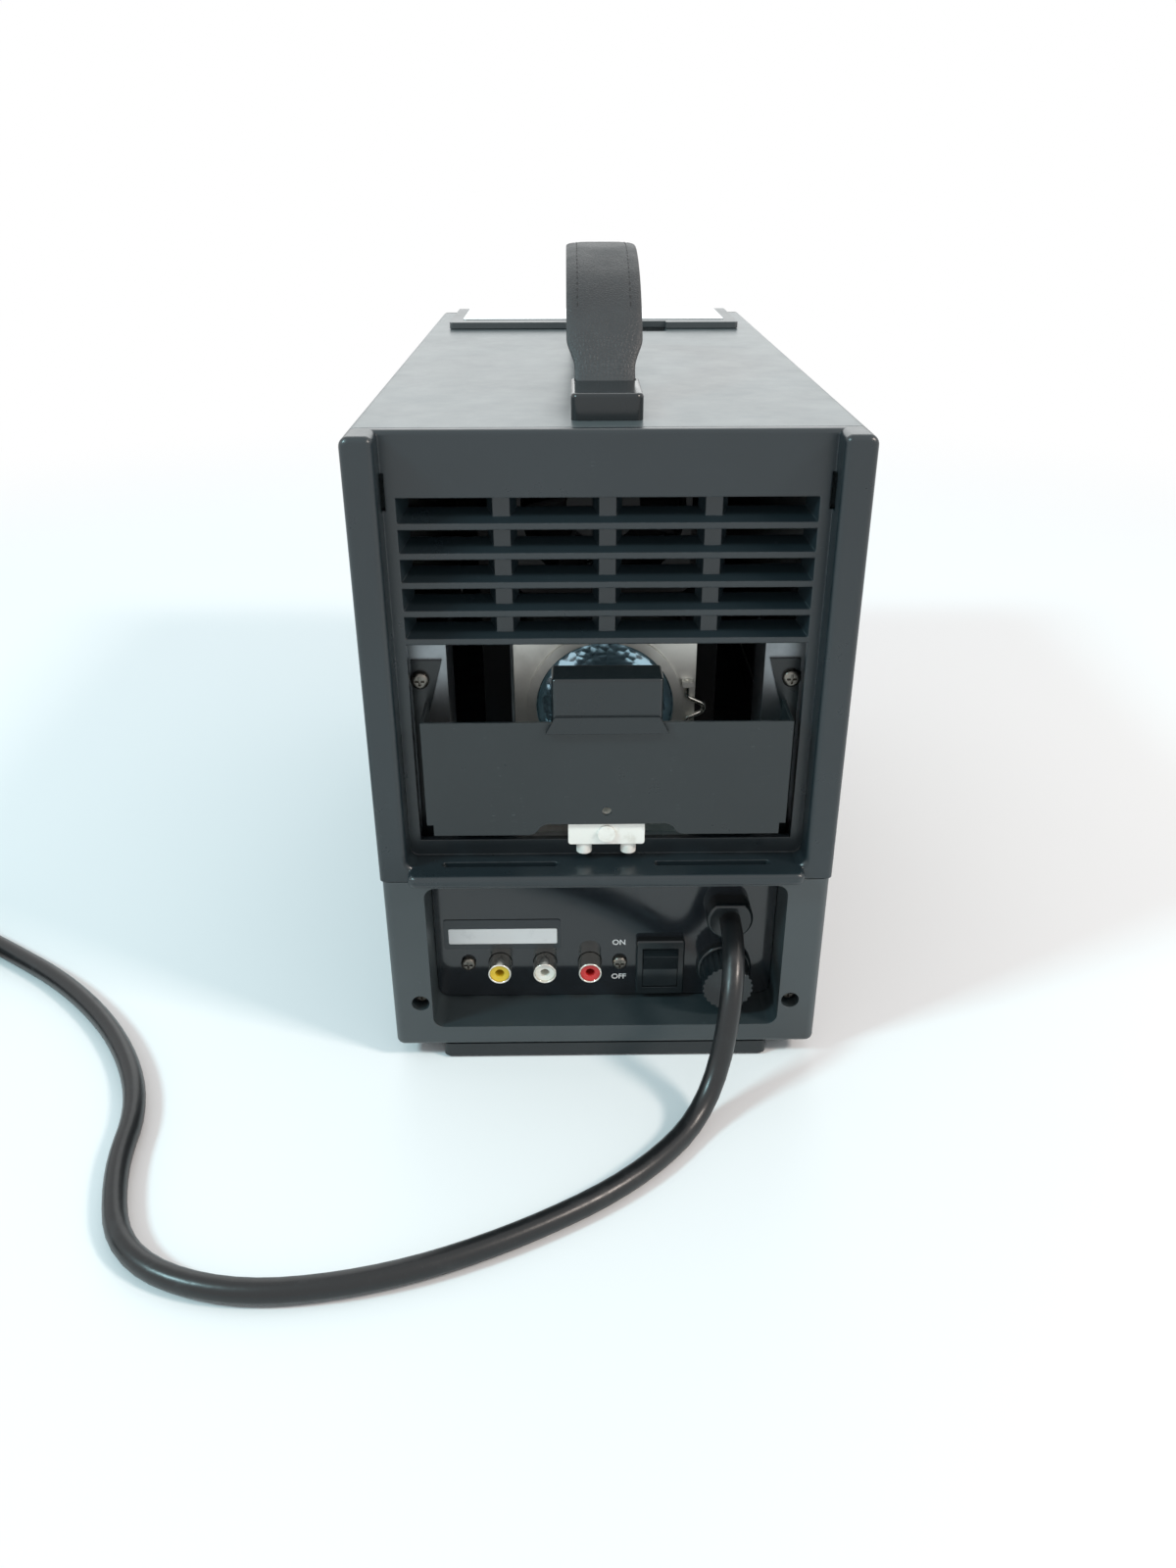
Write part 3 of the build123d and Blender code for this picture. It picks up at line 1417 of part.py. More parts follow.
with BuildPart() as speaker:
    speaker_face = tray_half - tray_wall
    with BuildSketch(Plane.YZ.offset(speaker_face)):
        with Locations(side_point(speaker_depth, speaker_height)):
            Circle(speaker_radius)
    extrude(amount=-3.0)
    with BuildSketch(Plane.YZ.offset(speaker_face - 3.0)):
        with Locations(side_point(speaker_depth, speaker_height)):
            Circle(speaker_radius - 3.0)
    extrude(amount=-9.0, taper=40.0)
    with BuildSketch(Plane.YZ.offset(speaker_face - 12.0)):
        with Locations(side_point(speaker_depth, speaker_height)):
            Circle(11.0)
    extrude(amount=-7.0)
save(speaker, "speaker")

# Adjuster well with four knobs
with BuildPart() as control_well:
    well_top = cover_top - cover_wall
    well_middle = (0, rear_y + centred(*well_depth))
    well_span = well_depth[1] - well_depth[0]
    with BuildSketch(Plane.XY.offset(well_floor - well_wall)):
        with Locations(well_middle):
            RectangleRounded(2 * (well_half + well_wall), well_span + 2 * well_wall, 3.0)
    extrude(amount=well_top - well_floor + well_wall)
    with BuildSketch(Plane.XY.offset(well_floor)):
        with Locations(well_middle):
            RectangleRounded(2 * well_half, well_span, 3.0)
    extrude(amount=well_top, mode=Mode.SUBTRACT)
    # Clear the finger scoop that reaches over the rear wall
    with BuildSketch(Plane.XY.offset(scoop_floor - scoop_wall - body_clearance)):
        with Locations(scoop_middle):
            Rectangle(
                scoop_x[1] - scoop_x[0] + 2 * scoop_wall + 2 * body_clearance,
                scoop_depth[1] - scoop_depth[0] + scoop_wall + 2 * body_clearance,
            )
    extrude(amount=20.0, mode=Mode.SUBTRACT)
    knob_places = [knob_spacing * (index - 1.5) for index in range(4)]
    with Locations(Plane.XY.offset(well_floor)):
        with Locations(*[(place, rear_y + knob_depth) for place in knob_places]):
            Hole(knob_shaft + running_clearance, depth=well_wall)
save(control_well, "control_well")

knob_gap = 0.4
knob_names = ("tint_knob", "colour_knob", "contrast_knob", "brightness_knob")
for place, name in zip(knob_places, knob_names):
    with BuildPart() as knob:
        knob_bottom = well_floor + knob_gap
        with BuildSketch(Plane.XY.offset(knob_bottom)):
            with Locations((place, rear_y + knob_depth)):
                Circle(knob_radius)
                with PolarLocations(knob_radius + 0.3, 18):
                    Circle(0.7, mode=Mode.SUBTRACT)
        extrude(amount=knob_height)
        with BuildSketch(Plane.XY.offset(knob_bottom + knob_height)):
            with Locations((place, rear_y + knob_depth + knob_radius / 2 - 0.6)):
                Rectangle(1.2, knob_radius - 1.2)
        extrude(amount=0.6)
        with BuildSketch(Plane.XY.offset(well_floor - well_wall - 4.0)):
            with Locations((place, rear_y + knob_depth)):
                Circle(knob_shaft)
        extrude(amount=knob_gap + well_wall + 5.0)
    save(knob, name)

# Lid over the well, hinged along its front edge on two hidden lugs
lid_bottom = cover_top + lid_gap
lid_half = body_half - lid_side
with BuildPart() as control_lid:
    with BuildSketch(Plane.YZ):
        with Locations(side_point(lid_pivot, pivot_height)):
            Circle(lid_thickness / 2)
        with Locations(side_point(centred(lid_rear, lid_pivot), pivot_height)):
            Rectangle(lid_pivot - lid_rear, lid_thickness)
    extrude(amount=lid_half, both=True)
    rear_corners = (
        control_lid.edges()
        .filter_by(Axis.Z)
        .filter_by_position(Axis.Y, rear_y + lid_rear - 0.01, rear_y + lid_rear + 0.01)
    )
    fillet(rear_corners, radius=1.5)
    with BuildSketch(Plane.XY.offset(lid_bottom)):
        with Locations((centred(*scoop_x), rear_y + lid_rear)):
            Rectangle(scoop_x[1] - scoop_x[0], 2 * 4.0)
        notch = lid_thickness / 2 + 1.2
        for side in (-1, 1):
            with Locations((side * lug_x, rear_y + lid_pivot)):
                Rectangle(lug_width, 2 * notch)
    extrude(amount=lid_thickness, mode=Mode.SUBTRACT)
    for side in (-1, 1):
        with BuildSketch(Plane.YZ.offset(side * lug_x - lug_width / 2 - 0.5)):
            with Locations(side_point(lid_pivot, pivot_height)):
                Circle(lid_pin)
        extrude(amount=lug_width + 1.0)
save(control_lid, "control_lid")

with BuildPart() as lid_plate:
    with BuildSketch(Plane.XY.offset(lid_bottom + lid_thickness)):
        with Locations((0, rear_y + centred(*lid_plate_depth))):
            RectangleRounded(2 * lid_plate_half, lid_plate_depth[1] - lid_plate_depth[0], 1.5)
    extrude(amount=lid_plate_thickness)
save(lid_plate, "lid_plate")

# Handle: two glossy end caps and the strap between them
slot_floor = strap_level - strap_thickness / 2
slot_height = strap_thickness + slot_clearance
tongue_slot = tongue_half + slot_clearance / 2


def build_cap(direction):
    """End cap; direction is 1 for the rear cap, whose mouth faces forward, and -1 for the other."""
    start = cap_rear if direction > 0 else 2 * handle_middle - cap_rear

    def along(distance):
        return rear_y + start + direction * (distance - cap_rear)

    with BuildPart() as cap:
        with BuildSketch(Plane.XY.offset(cover_top)):
            with Locations((0, centred(along(cap_rear), along(cap_cheek)))):
                Rectangle(2 * cap_half, cap_cheek - cap_rear)
        extrude(amount=cap_height)
        closed_edges = cap.edges().filter_by(Axis.Z).sort_by(Axis.Y)
        fillet(closed_edges[0:2] if direction > 0 else closed_edges[2:4], radius=2.5)
        fillet(cap.faces().sort_by(Axis.Z)[-1].edges(), radius=1.2)
        with BuildSketch(Plane.XY.offset(slot_floor)):
            with Locations((0, centred(along(cap_rear + cap_wall), along(cap_cheek + 1.0)))):
                Rectangle(2 * tongue_slot, cap_cheek + 1.0 - cap_rear - cap_wall)
        extrude(amount=slot_height, mode=Mode.SUBTRACT)
        with BuildSketch(Plane.XY.offset(slot_floor)):
            with Locations((0, centred(along(cap_roof), along(cap_cheek + 1.0)))):
                Rectangle(2 * tongue_slot, cap_cheek + 1.0 - cap_roof)
        extrude(amount=2 * cap_height, mode=Mode.SUBTRACT)
        with Locations(Location((0, along(cap_screw), cover_top), (180, 0, 0))):
            Hole(screw_radius, depth=slot_floor - cover_top)
    return cap


save(build_cap(1), "rear_handle_cap")
save(build_cap(-1), "front_handle_cap")


def turn_point(centre, radius, angle):
    """Point on a circle of the side view; the angle is measured from straight up, forward."""
    turn = math.radians(angle)
    return (centre[0] + radius * math.sin(turn), centre[1] + radius * math.cos(turn))


# Centre line of the strap, from the rear cap to the middle; the other half mirrors it
tongue_start = side_point(cap_rear + cap_wall + 0.5, strap_level)
level_end = side_point(cap_roof, strap_level)
crease_centre = (level_end[0], level_end[1] + strap_crease)
crease_end = turn_point(crease_centre, strap_crease, 180.0 - strap_slope)
slope = math.radians(strap_slope)
straight_end = (
    crease_end[0] + strap_straight * math.cos(slope),
    crease_end[1] + strap_straight * math.sin(slope),
)
shoulder_centre = (
    straight_end[0] + strap_shoulder * math.sin(slope),
    straight_end[1] - strap_shoulder * math.cos(slope),
)
shoulder_end = turn_point(shoulder_centre, strap_shoulder, -crown_angle)
strap_crown = (rear_y + handle_middle - shoulder_end[0]) / math.sin(math.radians(crown_angle))
crown_centre = turn_point(shoulder_end, strap_crown, 180.0 - crown_angle)
crown_top = turn_point(crown_centre, strap_crown, 0.0)
print("strap: outer top at", round(crown_top[1] + strap_thickness / 2, 2))

with BuildPart() as handle_strap:
    with BuildLine(Plane.YZ) as strap_path:
        Line(tongue_start, level_end)
        crease_middle = turn_point(crease_centre, strap_crease, 180.0 - strap_slope / 2)
        ThreePointArc(level_end, crease_middle, crease_end)
        Line(crease_end, straight_end)
        shoulder_turn = -(strap_slope + crown_angle) / 2
        shoulder_middle = turn_point(shoulder_centre, strap_shoulder, shoulder_turn)
        ThreePointArc(straight_end, shoulder_middle, shoulder_end)
        crown_middle = turn_point(crown_centre, strap_crown, -crown_angle / 2)
        ThreePointArc(shoulder_end, crown_middle, crown_top)
    strap_line = strap_path.wire()
    with BuildSketch(Plane(origin=strap_line @ 0, x_dir=(1, 0, 0), z_dir=strap_line % 0)):
        Rectangle(2 * strap_half, strap_thickness)
    sweep(path=strap_line)
    mirror(about=Plane.XZ.offset(-(rear_y + handle_middle)))
    # The tongues are narrower and widen again just past the crease
    with BuildSketch(Plane.XY.offset(cover_top)):
        with BuildLine():
            Polyline(
                (tongue_half, rear_y + cap_rear),
                (tongue_half, rear_y + tongue_end),
                (strap_half, rear_y + strap_full),
                (strap_half, rear_y + 2 * handle_middle - strap_full),
                (tongue_half, rear_y + 2 * handle_middle - tongue_end),
                (tongue_half, rear_y + 2 * handle_middle - cap_rear),
                (-tongue_half, rear_y + 2 * handle_middle - cap_rear),
                (-tongue_half, rear_y + 2 * handle_middle - tongue_end),
                (-strap_half, rear_y + 2 * handle_middle - strap_full),
                (-strap_half, rear_y + strap_full),
                (-tongue_half, rear_y + tongue_end),
                (-tongue_half, rear_y + cap_rear),
                close=True,
            )
        make_face()
    extrude(amount=60.0, mode=Mode.INTERSECT)
save(handle_strap, "handle_strap")

# Mains lead: the free stretch from the gland to the coil
cord_route = [
    (44.2, rear_y + panel_depth - gland_reach, gland_z),
    (44.2, rear_y - 13.5, gland_z),
    (36.0, rear_y - 29.5, cord_rest),
    (10.0, rear_y - 62.0, cord_rest),
    (-30.0, rear_y - 86.0, cord_rest),
    (-70.0, rear_y - 101.0, cord_rest),
    (-112.0, rear_y - 105.0, cord_rest),
    (-146.0, rear_y - 91.0, cord_rest),
    (-158.5, rear_y - 58.0, cord_rest),
    (-160.0, rear_y - 26.0, cord_rest),
    (-178.0, rear_y + 8.0, cord_rest),
    (-208.0, rear_y + 40.0, cord_rest),
    (-243.0, rear_y + 64.5, cord_rest),
]


def heading(angle):
    """Unit vector on the floor at this angle from +X."""
    return Vector(math.cos(math.radians(angle)), math.sin(math.radians(angle)), 0)


def far_end(distance):
    """Point this far back along the coil's straight entry."""
    place = Vector(coil_entry[0], rear_y + coil_entry[1], coil_rest) - heading(coil_heading) * distance
    return (place.X, place.Y, place.Z)


cord_diameter = 2 * cord_radius
cord_route += [far_end(cord_diameter + 15.0), far_end(cord_diameter)]


def corner_radii(route):
    """Largest radius at each corner when neighbours share a run in step with their turns."""
    points = [Vector(*point) for point in route]
    runs = [after - before for before, after in zip(points, points[1:])]
    halves = [0.0]
    for before, after in zip(runs, runs[1:]):
        halves.append(math.tan(math.radians(before.get_angle(after)) / 2))
    halves.append(0.0)
    share = 0.92
    radii = []
    for index in range(1, len(halves) - 1):
        before = runs[index - 1].length / (halves[index - 1] + halves[index])
        after = runs[index].length / (halves[index] + halves[index + 1])
        radii.append(share * min(before, after))
    return radii


def cord_tube(route, radii):
    """Round cord along straight runs joined by tangent arcs."""
    with BuildPart() as tube:
        with BuildLine() as path:
            FilletPolyline(*route, radius=radii)
        middle_line = path.wire()
        with BuildSketch(Plane(origin=middle_line @ 0, z_dir=middle_line % 0)):
            Circle(cord_radius)
        sweep(path=middle_line)
    ratio = tube.part.volume / (math.pi * cord_radius**2 * middle_line.length)
    print("cord tube: length", round(middle_line.length, 1), "volume ratio", round(ratio, 4))
    return tube


cord_radii = corner_radii(cord_route)
print("cord radii:", [round(radius, 1) for radius in cord_radii])
free_cord = cord_tube(cord_route, cord_radii)
save(free_cord, "power_cord")

# Coil: half turns spiral in on the floor, climb where they reverse, and spiral out on top
entry = Vector(coil_entry[0], rear_y + coil_entry[1], coil_rest)
outward = heading(coil_heading - 90.0)
coil_centre = entry - outward * coil_outer


def coil_point(radius, side, layer):
    """End of a half turn: on the entry side of the coil for 1, opposite it for -1."""
    place = coil_centre + outward * (side * radius)
    return Vector(place.X, place.Y, coil_rest + layer * coil_layer)


half_turn_ends = []
for index in range(coil_half_turns + 1):
    half_turn_ends.append((coil_outer - index * coil_pitch / 2, 0))
inner_radius = half_turn_ends[-1][0]
for index in range(coil_half_turns + 1):
    half_turn_ends.append((inner_radius + index * coil_pitch / 2, 1))
coil_points = []
for index, (radius, layer) in enumerate(half_turn_ends):
    coil_points.append(coil_point(radius, 1 if index % 2 == 0 else -1, layer))
coil_exit = coil_points[-1]
exit_heading = coil_heading + 180.0 * (len(coil_points) - 1)


def biarc_middle(start, end, direction):
    """Joint of two equal tangent arcs whose end directions are opposite."""
    reach = (end - start).length / 2
    return (start + end) * 0.5 + direction * reach


measured = []
with BuildPart() as cord_coil:
    with BuildLine() as coil_path:
        straight_in = entry - heading(coil_heading) * cord_diameter
        Line(straight_in, entry)
        for index, (start, end) in enumerate(zip(coil_points, coil_points[1:])):
            direction = heading(coil_heading + 180.0 * index)
            joint = biarc_middle(start, end, direction)
            first = TangentArc(start, joint, tangent=direction)
            second = TangentArc(joint, end, tangent=first % 1)
            for arc in (first, second):
                measured += [(index, arc @ (step / 40)) for step in range(40)]
        Line(coil_exit, coil_exit + heading(exit_heading) * cord_diameter)
    coil_line = coil_path.wire()
    with BuildSketch(Plane(origin=coil_line @ 0, z_dir=coil_line % 0)):
        Circle(cord_radius)
    sweep(path=coil_line)
coil_gap = min(
    (first - second).length - cord_diameter
    for turn, first in measured
    for other, second in measured
    if other - turn >= 2
)
coil_length = coil_line.length
print("coil: half turns", len(coil_points) - 1, "length", round(coil_length, 1))
print("coil: least gap", round(coil_gap, 2), "inner radius", round(inner_radius, 1))
save(cord_coil, "cord_coil")

# Tie around the four strands that lie beside the middle of the coil
tie_place = heading(coil_heading - 180.0)
strand_low = inner_radius + coil_pitch / 4
strand_high = strand_low + coil_pitch
tie_inner_width = strand_high - strand_low + cord_diameter + 2 * tie_slack
tie_inner_height = coil_layer + cord_diameter + 2 * body_clearance
tie_centre = coil_centre + tie_place * centred(strand_low, strand_high)
tie_middle = coil_rest + coil_layer / 2
with BuildPart() as cord_tie:
    tie_plane = Plane(
        origin=(tie_centre.X, tie_centre.Y, tie_middle),
        x_dir=tie_place,
        z_dir=outward,
    )
    with BuildSketch(tie_plane):
        RectangleRounded(
            tie_inner_width + 2 * tie_thickness, tie_inner_height + 2 * tie_thickness, 4.0
        )
        RectangleRounded(tie_inner_width, tie_inner_height, 4.0 - tie_thickness, mode=Mode.SUBTRACT)
    extrude(amount=tie_width / 2, both=True)
print("tie: lowest point", round(cord_tie.part.bounding_box().min.Z, 2))
save(cord_tie, "cord_tie")

# Short tail from the top of the coil to the plug beside it
tail_start = coil_exit + heading(exit_heading) * cord_diameter
plug_axis = heading(plug_heading)
tail_corner = tail_start + heading(exit_heading) * tail_run
tail_level = Vector(tail_corner.X, tail_corner.Y, plug_rest) + plug_axis * tail_run
plug_mouth = tail_level + plug_axis * plug_level
tail_route = [(place.X, place.Y, place.Z) for place in (tail_start, tail_corner, tail_level, plug_mouth)]
tail_radii = corner_radii(tail_route)
print("tail radii:", [round(radius, 1) for radius in tail_radii])
tail = cord_tube(tail_route, tail_radii)
save(tail, "cord_tail")


# Moulded two-pin plug with side earth contacts, lying on the floor
def plug_plane(distance):
    """Plane square to the plug's axis, this far past the end of the cord."""
    return Plane(origin=plug_mouth + plug_axis * distance, x_dir=(0, 0, 1), z_dir=plug_axis)


plug_length = plug_neck + plug_taper + plug_body
with BuildPart() as mains_plug:
    with BuildSketch(plug_plane(0)):
        Circle(cord_radius + 1.8)
    with BuildSketch(plug_plane(plug_neck)):
        Circle(cord_radius + 3.4)
    with BuildSketch(plug_plane(plug_neck + plug_taper)):
        Circle(plug_radius - 0.8)
    loft(ruled=True)
    with BuildSketch(plug_plane(plug_neck + plug_taper)):
        Circle(plug_radius - 0.8)
    extrude(amount=plug_body)
    fillet(mains_plug.edges().filter_by(GeomType.CIRCLE).sort_by(SortBy.RADIUS)[-1], radius=0.8)
    with BuildSketch(plug_plane(plug_length)):
        Circle(2.6)
    extrude(amount=-15.0, mode=Mode.SUBTRACT)
save(mains_plug, "mains_plug")

with BuildPart() as plug_pins:
    with BuildSketch(plug_plane(plug_length)):
        with Locations((0, plug_pin_spacing / 2), (0, -plug_pin_spacing / 2)):
            Circle(plug_pin_radius)
    extrude(amount=plug_pin_length)
save(plug_pins, "plug_pins")
cord_total = coil_length + sum(
    (Vector(*after) - Vector(*before)).length
    for route in (cord_route, tail_route)
    for before, after in zip(route, route[1:])
)
print("mains lead: about", round(cord_total), "mm from the gland to the plug")
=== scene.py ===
import logging
import math
from dataclasses import dataclass, field
from enum import Enum
from typing import ClassVar, Optional, Sequence, Union

import bpy
import numpy as np
from mathutils import Matrix, Vector


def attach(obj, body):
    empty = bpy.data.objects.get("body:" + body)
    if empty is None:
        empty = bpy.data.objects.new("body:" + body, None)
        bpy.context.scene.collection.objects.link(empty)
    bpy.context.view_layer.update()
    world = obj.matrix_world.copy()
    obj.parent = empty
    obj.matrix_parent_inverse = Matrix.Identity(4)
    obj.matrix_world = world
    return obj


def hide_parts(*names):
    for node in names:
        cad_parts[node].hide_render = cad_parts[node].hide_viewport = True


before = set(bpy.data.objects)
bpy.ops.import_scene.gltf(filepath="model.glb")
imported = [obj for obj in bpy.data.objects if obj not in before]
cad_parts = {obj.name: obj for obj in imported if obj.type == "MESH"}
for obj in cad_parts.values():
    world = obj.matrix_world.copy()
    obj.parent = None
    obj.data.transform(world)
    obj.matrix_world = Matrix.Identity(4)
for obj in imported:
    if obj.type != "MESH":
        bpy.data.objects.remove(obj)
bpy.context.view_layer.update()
LOG = logging.getLogger("projector")

# A millimetre in metres, and the place of the rear face on the Y axis in millimetres
MM = 0.001
REAR_Y = -162.2

Colour = tuple[float, float, float]
Point = tuple[float, float, float]
Number = Union[int, float]

# A noise as its cells in a metre, its octaves and the share of each finer octave
Texture = tuple[float, float, float]

# The two ends of a ramp, or a factor and an offset
Pair = tuple[float, float]

# The value about which a noise varies, and the light of a white background
NOISE_MIDDLE = 0.5
WHITE_LIGHT = (1.0, 1.0, 1.0, 1.0)


# Shader graph helpers


class Sock:
    """An output socket that takes part in Python arithmetic by adding Math nodes."""

    def __init__(self, graph: "Graph", socket: bpy.types.NodeSocket) -> None:
        """Keeps the socket and the graph it belongs to."""
        self.graph = graph
        self.socket = socket

    def _math(self, operation: str, first: "Value", second: "Value" = 0.0) -> "Sock":
        """Adds one Math node.

        Args:
            operation: Blender's name for the operation.
            first: Left operand.
            second: Right operand.

        Returns:
            The node's value socket.
        """
        made = self.graph.node("ShaderNodeMath", {"operation": operation}, {0: first, 1: second})
        return self.graph.out(made, "Value")

    def __add__(self, other: "Value") -> "Sock":
        """Sum."""
        return self._math("ADD", self, other)

    def __radd__(self, other: "Value") -> "Sock":
        """Sum, reflected."""
        return self._math("ADD", other, self)

    def __sub__(self, other: "Value") -> "Sock":
        """Difference."""
        return self._math("SUBTRACT", self, other)

    def __rsub__(self, other: "Value") -> "Sock":
        """Difference, reflected."""
        return self._math("SUBTRACT", other, self)

    def __mul__(self, other: "Value") -> "Sock":
        """Product."""
        return self._math("MULTIPLY", self, other)

    def __rmul__(self, other: "Value") -> "Sock":
        """Product, reflected."""
        return self._math("MULTIPLY", other, self)

    def __pow__(self, other: "Value") -> "Sock":
        """Power."""
        return self._math("POWER", self, other)

    def larger(self, other: "Value") -> "Sock":
        """The larger of two values."""
        return self._math("MAXIMUM", self, other)

    def absolute(self) -> "Sock":
        """Absolute value."""
        return self._math("ABSOLUTE", self)

    def clamp(self) -> "Sock":
        """The value held between zero and one."""
        made = self.graph.node("ShaderNodeClamp", {}, {"Value": self})
        return self.graph.out(made, "Result")

    def ramp(self, low: float, high: float) -> "Sock":
        """Smooth step from zero at low to one at high."""
        made = self.graph.node(
            "ShaderNodeMapRange",
            {"interpolation_type": "SMOOTHSTEP"},
            {"Value": self, "From Min": low, "From Max": high},
        )
        return self.graph.out(made, "Result")


Value = Union[Sock, Number]
Shade = Union[Sock, Colour]


def opaque(value: Union[Value, Colour]) -> Union[Value, tuple[float, ...]]:
    """A colour of three numbers with full alpha, or any other value as it is."""
    return (*value, 1.0) if isinstance(value, tuple) else value


def toned(colour: Colour, factor: float, offset: float = 0.0) -> Colour:
    """A colour with each channel multiplied and raised, and held to one at most."""
    return tuple(min(1.0, factor * channel + offset) for channel in colour)


class Graph:
    """The node tree of a material or a world, with a single method that makes nodes.

    Attributes:
        edge_gain: How steeply the edge mask rises as the two normals part.
        bevel_samples: Rays of the node that rounds edges.
    """

    edge_gain: float = 5.0
    bevel_samples: int = 4

    def __init__(self, name: str, world: bool = False) -> None:
        """Makes an empty material, or an empty world."""
        self.owner = (bpy.data.worlds if world else bpy.data.materials).new(name)
        self.owner.use_nodes = True
        self.tree = self.owner.node_tree
        self.tree.nodes.clear()

    def node(self, kind: str, settings: dict, inputs: dict) -> bpy.types.Node:
        """Adds a node of any type.

        Args:
            kind: The node's bl_idname.
            settings: Properties to set first, by name.
            inputs: Values or sockets, by the input's name or index.

        Returns:
            The new node.
        """
        made = self.tree.nodes.new(kind)
        for key, setting in settings.items():
            setattr(made, key, setting)
        for key, value in inputs.items():
            if isinstance(value, Sock):
                self.tree.links.new(value.socket, made.inputs[key])
            else:
                made.inputs[key].default_value = value
        return made

    def out(self, made: bpy.types.Node, name: str) -> Sock:
        """Wraps a node's output."""
        return Sock(self, made.outputs[name])

    def place(self) -> Sock:
        """Object coordinates, which are the part's own metres."""
        return self.out(self.node("ShaderNodeTexCoord", {}, {}), "Object")

    def axis(self, name: str) -> Sock:
        """One of the object coordinates, X, Y or Z."""
        return self.out(self.node("ShaderNodeSeparateXYZ", {}, {"Vector": self.place()}), name)

    def scaled(self, factors: Point) -> Sock:
        """Object coordinates stretched by a factor on each axis."""
        made = self.node(
            "ShaderNodeVectorMath", {"operation": "MULTIPLY"}, {0: self.place(), 1: factors}
        )
        return self.out(made, "Vector")

    def noise(self, scale: float, detail: float = 2.0, rough: float = 0.5,
              vector: Optional[Sock] = None) -> Sock:
        """Noise between about 0.3 and 0.7.

        Args:
            scale: Cells in a metre.
            detail: Octaves.
            rough: Share of each finer octave.
            vector: Coordinates, or object coordinates where none are given.

        Returns:
            The factor socket.
        """
        made = self.node(
            "ShaderNodeTexNoise",
            {"noise_dimensions": "3D"},
            {
                "Vector": vector or self.place(),
                "Scale": scale,
                "Detail": detail,
                "Roughness": rough,
            },
        )
        return self.out(made, "Fac")

    def cells(self, scale: float, feature: str = "F1") -> Sock:
        """Voronoi distance, for leather grain and for dimples.

        Args:
            scale: Cells in a metre.
            feature: Blender's name for what is measured in each cell.

        Returns:
            The distance socket.
        """
        made = self.node(
            "ShaderNodeTexVoronoi", {"feature": feature}, {"Vector": self.place(), "Scale": scale}
        )
        return self.out(made, "Distance")

    def mix(self, factor: Value, first: Shade, second: Shade) -> Sock:
        """Mixes two colours.

        Args:
            factor: Zero for the first colour, one for the second.
            first: Colour or socket.
            second: Colour or socket.

        Returns:
            The mixed colour.
        """
        # On a Mix node the two colours are inputs 6 and 7, and their mix is output 2
        ends = {0: factor, 6: opaque(first), 7: opaque(second)}
        made = self.node("ShaderNodeMix", {"data_type": "RGBA"}, ends)
        return Sock(self, made.outputs[2])

    def bump(self, height: Sock, depth: float, normal: Optional[Sock] = None) -> Sock:
        """Adds a bump.

        Args:
            height: The height that it follows, from zero to one.
            depth: What a height of one is in metres.
            normal: The normal that it comes on top of, if there is one.

        Returns:
            The bumped normal.
        """
        inputs = {"Height": height, "Strength": 1.0, "Distance": depth}
        if normal is not None:
            inputs["Normal"] = normal
        return self.out(self.node("ShaderNodeBump", {}, inputs), "Normal")

    def round_edges(self, radius: float) -> Sock:
        """Normal that rounds sharp edges by a radius in metres."""
        made = self.node("ShaderNodeBevel", {"samples": self.bevel_samples}, {"Radius": radius})
        return self.out(made, "Normal")

    def edge_mask(self, rounded: Sock) -> Sock:
        """How much the rounded normal leaves the flat one: zero on flats, and more along edges.

        Args:
            rounded: The normal that rounds the edges.

        Returns:
            The mask.
        """
        flat = self.out(self.node("ShaderNodeNewGeometry", {}, {}), "Normal")
        made = self.node("ShaderNodeVectorMath", {"operation": "DOT_PRODUCT"}, {0: rounded, 1: flat})
        return (1.0 - self.out(made, "Value")) * self.edge_gain

    def principled(self, inputs: dict) -> Sock:
        """Adds a Principled shader, its colours given as three numbers or as sockets."""
        ready = {key: opaque(value) for key, value in inputs.items()}
        return self.out(self.node("ShaderNodeBsdfPrincipled", {}, ready), "BSDF")

    def blend(self, factor: Value, first: Sock, second: Sock) -> Sock:
        """Mixes two shaders, with zero for the first and one for the second."""
        made = self.node("ShaderNodeMixShader", {}, {0: factor, 1: first, 2: second})
        return self.out(made, "Shader")

    def finish(self, inputs: dict) -> bpy.types.Material:
        """Ends the tree in a Principled shader.

        Args:
            inputs: The shader's inputs by name; colours as three numbers or sockets.

        Returns:
            The material.
        """
        self.node("ShaderNodeOutputMaterial", {}, {"Surface": self.principled(inputs)})
        return self.owner


# Finishes


